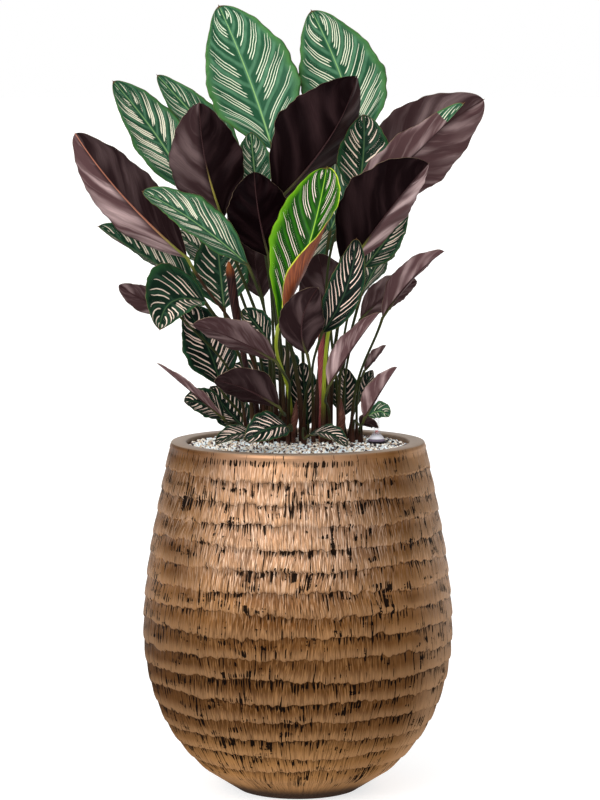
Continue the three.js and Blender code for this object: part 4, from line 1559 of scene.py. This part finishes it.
@dataclass
class Gravel:
    """Loose stones over the granulate, kept off the stalks and the water gauge.

    The stones just in front of the gauge lie lower, by gauge_dip, so that its ring shows.
    """

    radius: float = 155.5
    spacing: float = 3.35
    jitter: float = 1.3
    low: float = 488.2
    high: float = 492.0
    highest: float = 496.4
    smallest: float = 3.0
    largest: float = 5.2
    leaf_room: float = 0.6
    spear_room: float = 0.8
    gauge_room: float = 1.2
    gauge_dip: float = 3.5
    dip_reach: float = 14.0
    dip_back: float = 4.0
    dip_slope: float = 8.0
    seed: int = 11

    def dress_bed(self) -> None:
        """Gives the granulate under the loose stones its own material."""
        skin = PlainSkin("granulate_bed", srgb(122, 104, 88), srgb(74, 62, 54), 0.8, 260, 0.9)
        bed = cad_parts["substrate"]
        bed.data.materials.clear()
        bed.data.materials.append(skin.material())
        log.info("substrate: carried over")

    def keep_clear(self) -> list[tuple[float, float, float]]:
        """Gives where stones can't lie.

        Returns:
            Places, each with a radius.
        """
        clear = [(*leaf.root, leaf.foot_radius + self.leaf_room) for leaf in LEAVES]
        clear += [(*spear.root, spear.foot_radius + self.spear_room) for spear in SPEARS]
        return [*clear, (*Gauge.place, Gauge.ring_radius + self.gauge_room)]

    @staticmethod
    def lump() -> tuple[Array, Array]:
        """Gives a regular lump of twenty faces.

        Returns:
            Its twelve corners, at a distance of 1 from its middle, and the corners of its faces.
        """
        golden = (1 + 5 ** 0.5) / 2
        longest_side = 1.1
        corners = unit(np.array([np.roll([a, b * golden, 0], axis)
                                 for axis in range(3) for a in (-1, 1) for b in (-1, 1)]))
        faces = []
        for a, b, c in combinations(range(12), 3):
            trio = corners[[a, b, c]]
            if max(np.linalg.norm(trio - np.roll(trio, 1, axis=0), axis=1)) < longest_side:
                faces.append((a, b, c) if np.linalg.det(trio) > 0 else (a, c, b))
        return corners, np.array(faces)

    def build(self) -> None:
        """Builds the stones as small angular lumps."""
        rng = np.random.default_rng(self.seed)
        steps = np.arange(-self.radius, self.radius, self.spacing)
        x, y = (k.ravel() + rng.uniform(-self.jitter, self.jitter, k.size)
                for k in np.meshgrid(steps, steps))
        size = rng.uniform(self.smallest, self.largest, x.shape) / 2
        inside = np.hypot(x, y) < self.radius - size
        for cx, cy, room in self.keep_clear():
            inside &= np.hypot(x - cx, y - cy) > room + size * 0.6
        x, y, size = x[inside], y[inside], size[inside]
        z = rng.uniform(self.low, self.high, x.shape)
        gauge_x, gauge_y = Gauge.place
        from_ring = np.hypot(x - gauge_x, y - gauge_y) - Gauge.ring_radius
        dip = (np.clip((self.dip_reach - from_ring) / self.dip_slope, 0, 1)
               * np.clip((gauge_y + self.dip_back - y) / self.dip_slope, 0, 1))
        z = z - self.gauge_dip * dip
        corners, faces = self.lump()
        count = len(x)
        lumps = corners * rng.uniform(0.72, 1.25, (count, len(corners), 1))
        lumps = lumps * rng.uniform(0.75, 1.2, (count, 1, 3)) * size[:, None, None]
        turn = rng.uniform(0, 2 * np.pi, count)[:, None]
        lx, ly, lz = np.moveaxis(lumps, -1, 0)
        points = triple(lx * np.cos(turn) - ly * np.sin(turn) + x[:, None],
                        lx * np.sin(turn) + ly * np.cos(turn) + y[:, None],
                        np.minimum(lz + z[:, None], self.highest))
        form = Form()
        numbers = form.add_points(points, stone=rng.random((count, 1, 3)))
        form.add_faces(numbers[:, faces].reshape(-1, 3))
        form.piece("gravel_stones", "planter", "gravel", [], [GravelSkin().material()], smooth=False)


@dataclass
class Gauge:
    """The water gauge: dark housing, clear sight tube and a float with a red tip."""

    place = (112.0, 30.0)
    ring_radius = 14.5
    sides: int = 64
    axis_gap: float = 0.05
    bottom: float = 70.0
    tube_radius: float = 11.5
    bore: float = 7.5
    stop_bore: float = 3.5
    stop_top: float = 89.7
    ring_top: float = 493.0
    sight_bore: float = 3.8
    sight_top: float = 556.0
    rod: float = 1.2

    def build(self) -> None:
        """Builds its three pieces."""
        dark = PlainSkin("gauge_dark_plastic", srgb(26, 17, 26), srgb(14, 8, 14), 0.4, 500, 0.06,
                         {"Specular IOR Level": 0.15})
        clear = LayeredSkin(
            "gauge_clear_plastic", ((0.0, srgb(112, 98, 118)), (0.4968, srgb(232, 230, 238))), 0.25,
            clear_from=0.502, clear=0.17)
        red = LayeredSkin(
            "gauge_red_plastic",
            ((0.0, srgb(226, 222, 228)), (0.5016, srgb(110, 0, 0)), (0.5062, srgb(236, 70, 0))), 0.35)
        for name, body, slot, node, skin, section in (
                ("housing_moulded", "planter", "gauge_housing", "housing", dark, self.housing()),
                ("sight_tube_clear", "planter", "gauge_clear", "sight_tube", clear, self.sight_tube()),
                ("float_red", "float", "gauge_float", "float", red, self.float_on_rod())):
            self.turned(section).piece(f"gauge_{name}", body, slot, [f"gauge_{node}"], [skin.material()])

    def turned(self, section: Section) -> Form:
        """Turns a closed section about the gauge's upright axis.

        Args:
            section: pairs of radius and height that run round it, up its outside.

        Returns:
            The form.
        """
        angle = np.linspace(0, 2 * np.pi, self.sides, endpoint=False)
        radius, height = np.array(section).T[:, :, None]
        x, y = self.place
        form = Form()
        points = triple(x + radius * np.cos(angle), y + radius * np.sin(angle), height)
        form.add_grid(form.add_points(points), round_about=True)
        return form

    def housing(self) -> Section:
        """Draws the dip tube with its ring and its stop.

        Returns:
            The closed section.
        """
        ring, top, tube, bore = self.ring_radius, self.ring_top, self.tube_radius, self.bore
        stop, low = self.stop_bore, self.bottom
        return [(stop, low), (tube - 1, low), (tube, low + 1), (tube, GRAVEL_TOP),
                (ring - 0.8, GRAVEL_TOP), (ring - 0.4, GRAVEL_TOP + 0.4), (ring, top - 1.2),
                (ring - 0.35, top - 0.4), (ring - 1.2, top), (bore + 0.6, top), (bore, top - 0.6),
                (bore, self.stop_top), (stop, self.stop_top), (stop, low)]

    def sight_tube(self) -> Section:
        """Draws the clear tube on its cone.

        Returns:
            The closed section.
        """
        base, top, bore, axis = self.ring_top + 0.3, self.sight_top, self.sight_bore, self.axis_gap
        cone = [(12.1, 0), (12.5, 0.4), (12.3, 1.8), (11.5, 2.6), (9.2, 6.2), (6.9, 9.2), (6.2, 11),
                (5.7, 13.4)]
        end = [(5.6, 2.2), (5.2, 0.9), (4.2, 0.15), (2.5, 0), (axis, 0), (axis, 2), (bore - 0.5, 2.1),
               (bore, 2.8)]
        return [(bore, base), *((radius, base + above) for radius, above in cone),
                *((radius, top - below) for radius, below in end), (bore, base)]

    def float_on_rod(self) -> Section:
        """Draws the float with its rod and tip.

        Returns:
            The closed section.
        """
        rod, axis = self.rod, self.axis_gap
        return [(axis, 90), (3.8, 90.4), (5.3, 92), (6, 95.5), (6, 150), (5.6, 153.5), (4.2, 156.4),
                (2.2, 157.6), (rod, 158.6), (rod, 502), (1.7, 502.4), (2.2, 503), (2.3, 504), (2.3, 506.8),
                (1.9, 508.2), (1.2, 508.8), (axis, 509), (axis, 90)]


@dataclass
class Studio:
    """Plain pale floor, soft light from the upper left, and a camera at the photograph's angle.

    Each ramp has where a light of the surroundings begins and where it is full, by direction. Each sun
    has its name, how many degrees to the right of the front and up it stands, how many degrees wide
    it looks, and how strong it is.
    """

    camera_place: Point = (0.003, -4.480, 0.989)
    camera_pitch: float = 5.535
    lens: float = 143.55
    sensor: float = 36.0
    floor_radius: float = 400.0
    floor_sides: int = 96
    wall_light: float = 1.0
    front_light: float = 0.14
    wall_ramp: tuple[float, float] = (0.86, 0.985)
    ceiling_light: float = 0.74
    ceiling_ramp: tuple[float, float] = (0.1, 0.7)
    lamp_light: float = 5.4
    lamp_ramp: tuple[float, float] = (0.82, 0.97)
    lamp_turn: float = -28.0
    lamp_rise: float = 12.0
    suns: tuple[tuple[str, float, float, float, float], ...] = (
        ("key", -36, 44, 44, 0.84), ("fill", 60, 20, 60, 0.36))

    def build(self) -> None:
        """Sets up the floor, the lights and the camera."""
        self.add_floor()
        self.add_sky()
        for name, turn, rise, spread, power in self.suns:
            data = bpy.data.lights.new(name, "SUN")
            data.angle = math.radians(spread)
            data.energy = power
            sun = bpy.data.objects.new(name, data)
            sun.rotation_euler = (math.radians(90 - rise), 0, math.radians(turn))
            bpy.context.scene.collection.objects.link(sun)
        bpy.context.scene.view_settings.view_transform = "Standard"
        data = bpy.data.cameras.new("photograph_view")
        data.lens = self.lens
        data.sensor_width = self.sensor
        camera = bpy.data.objects.new("photograph_view", data)
        camera.location = self.camera_place
        camera.rotation_euler = (math.radians(90 - self.camera_pitch), 0, 0)
        bpy.context.scene.collection.objects.link(camera)
        bpy.context.scene.camera = camera

    def add_floor(self) -> None:
        """Lays the floor."""
        angle = np.linspace(0, 2 * np.pi, self.floor_sides, endpoint=False)
        edge = triple(self.floor_radius * np.cos(angle), self.floor_radius * np.sin(angle), 0)
        mesh = bpy.data.meshes.new("studio_floor")
        mesh.from_pydata(edge.tolist(), [], [tuple(range(self.floor_sides))])
        skin = PlainSkin("pale_floor", srgb(172, 172, 172), srgb(170, 170, 169), 0.9, 3, 0.0,
                         {"Emission Strength": 0.72})
        mesh.materials.append(skin.material())
        floor = bpy.data.objects.new("studio_floor", mesh)
        bpy.context.scene.collection.objects.link(floor)

    def add_sky(self) -> None:
        """Surrounds the studio with white walls under a dimmer ceiling, and a wide lamp at the front."""
        world = bpy.data.worlds.new("pale_studio")
        world.use_nodes = True
        sky = Graph(world.node_tree)
        direction = sky.place("Generated")
        _, y, z = sky.parts(direction)
        lamp = aim(self.lamp_turn, self.lamp_rise)
        facing = sky.value("VectorMath", {0: direction, 1: lamp}, "Value", operation="DOT_PRODUCT")
        walls = y.step(*self.wall_ramp) * (self.wall_light - self.front_light) + self.front_light
        ceiling = z.step(*self.ceiling_ramp) * self.ceiling_light
        backdrop = world.node_tree.nodes["Background"].inputs
        sky.feed((1.0, 1.0, 1.0, 1.0), backdrop["Color"])
        sky.feed(ceiling + walls + facing.step(*self.lamp_ramp) * self.lamp_light, backdrop["Strength"])
        bpy.context.scene.world = world


def main() -> None:
    """Builds every piece in order."""
    Planter().build()
    gravel = Gravel()
    gravel.dress_bed()
    gravel.build()
    Gauge().build()
    Plant().build()
    Studio().build()
    bpy.context.view_layer.update()


if __name__ == "__main__":
    main()
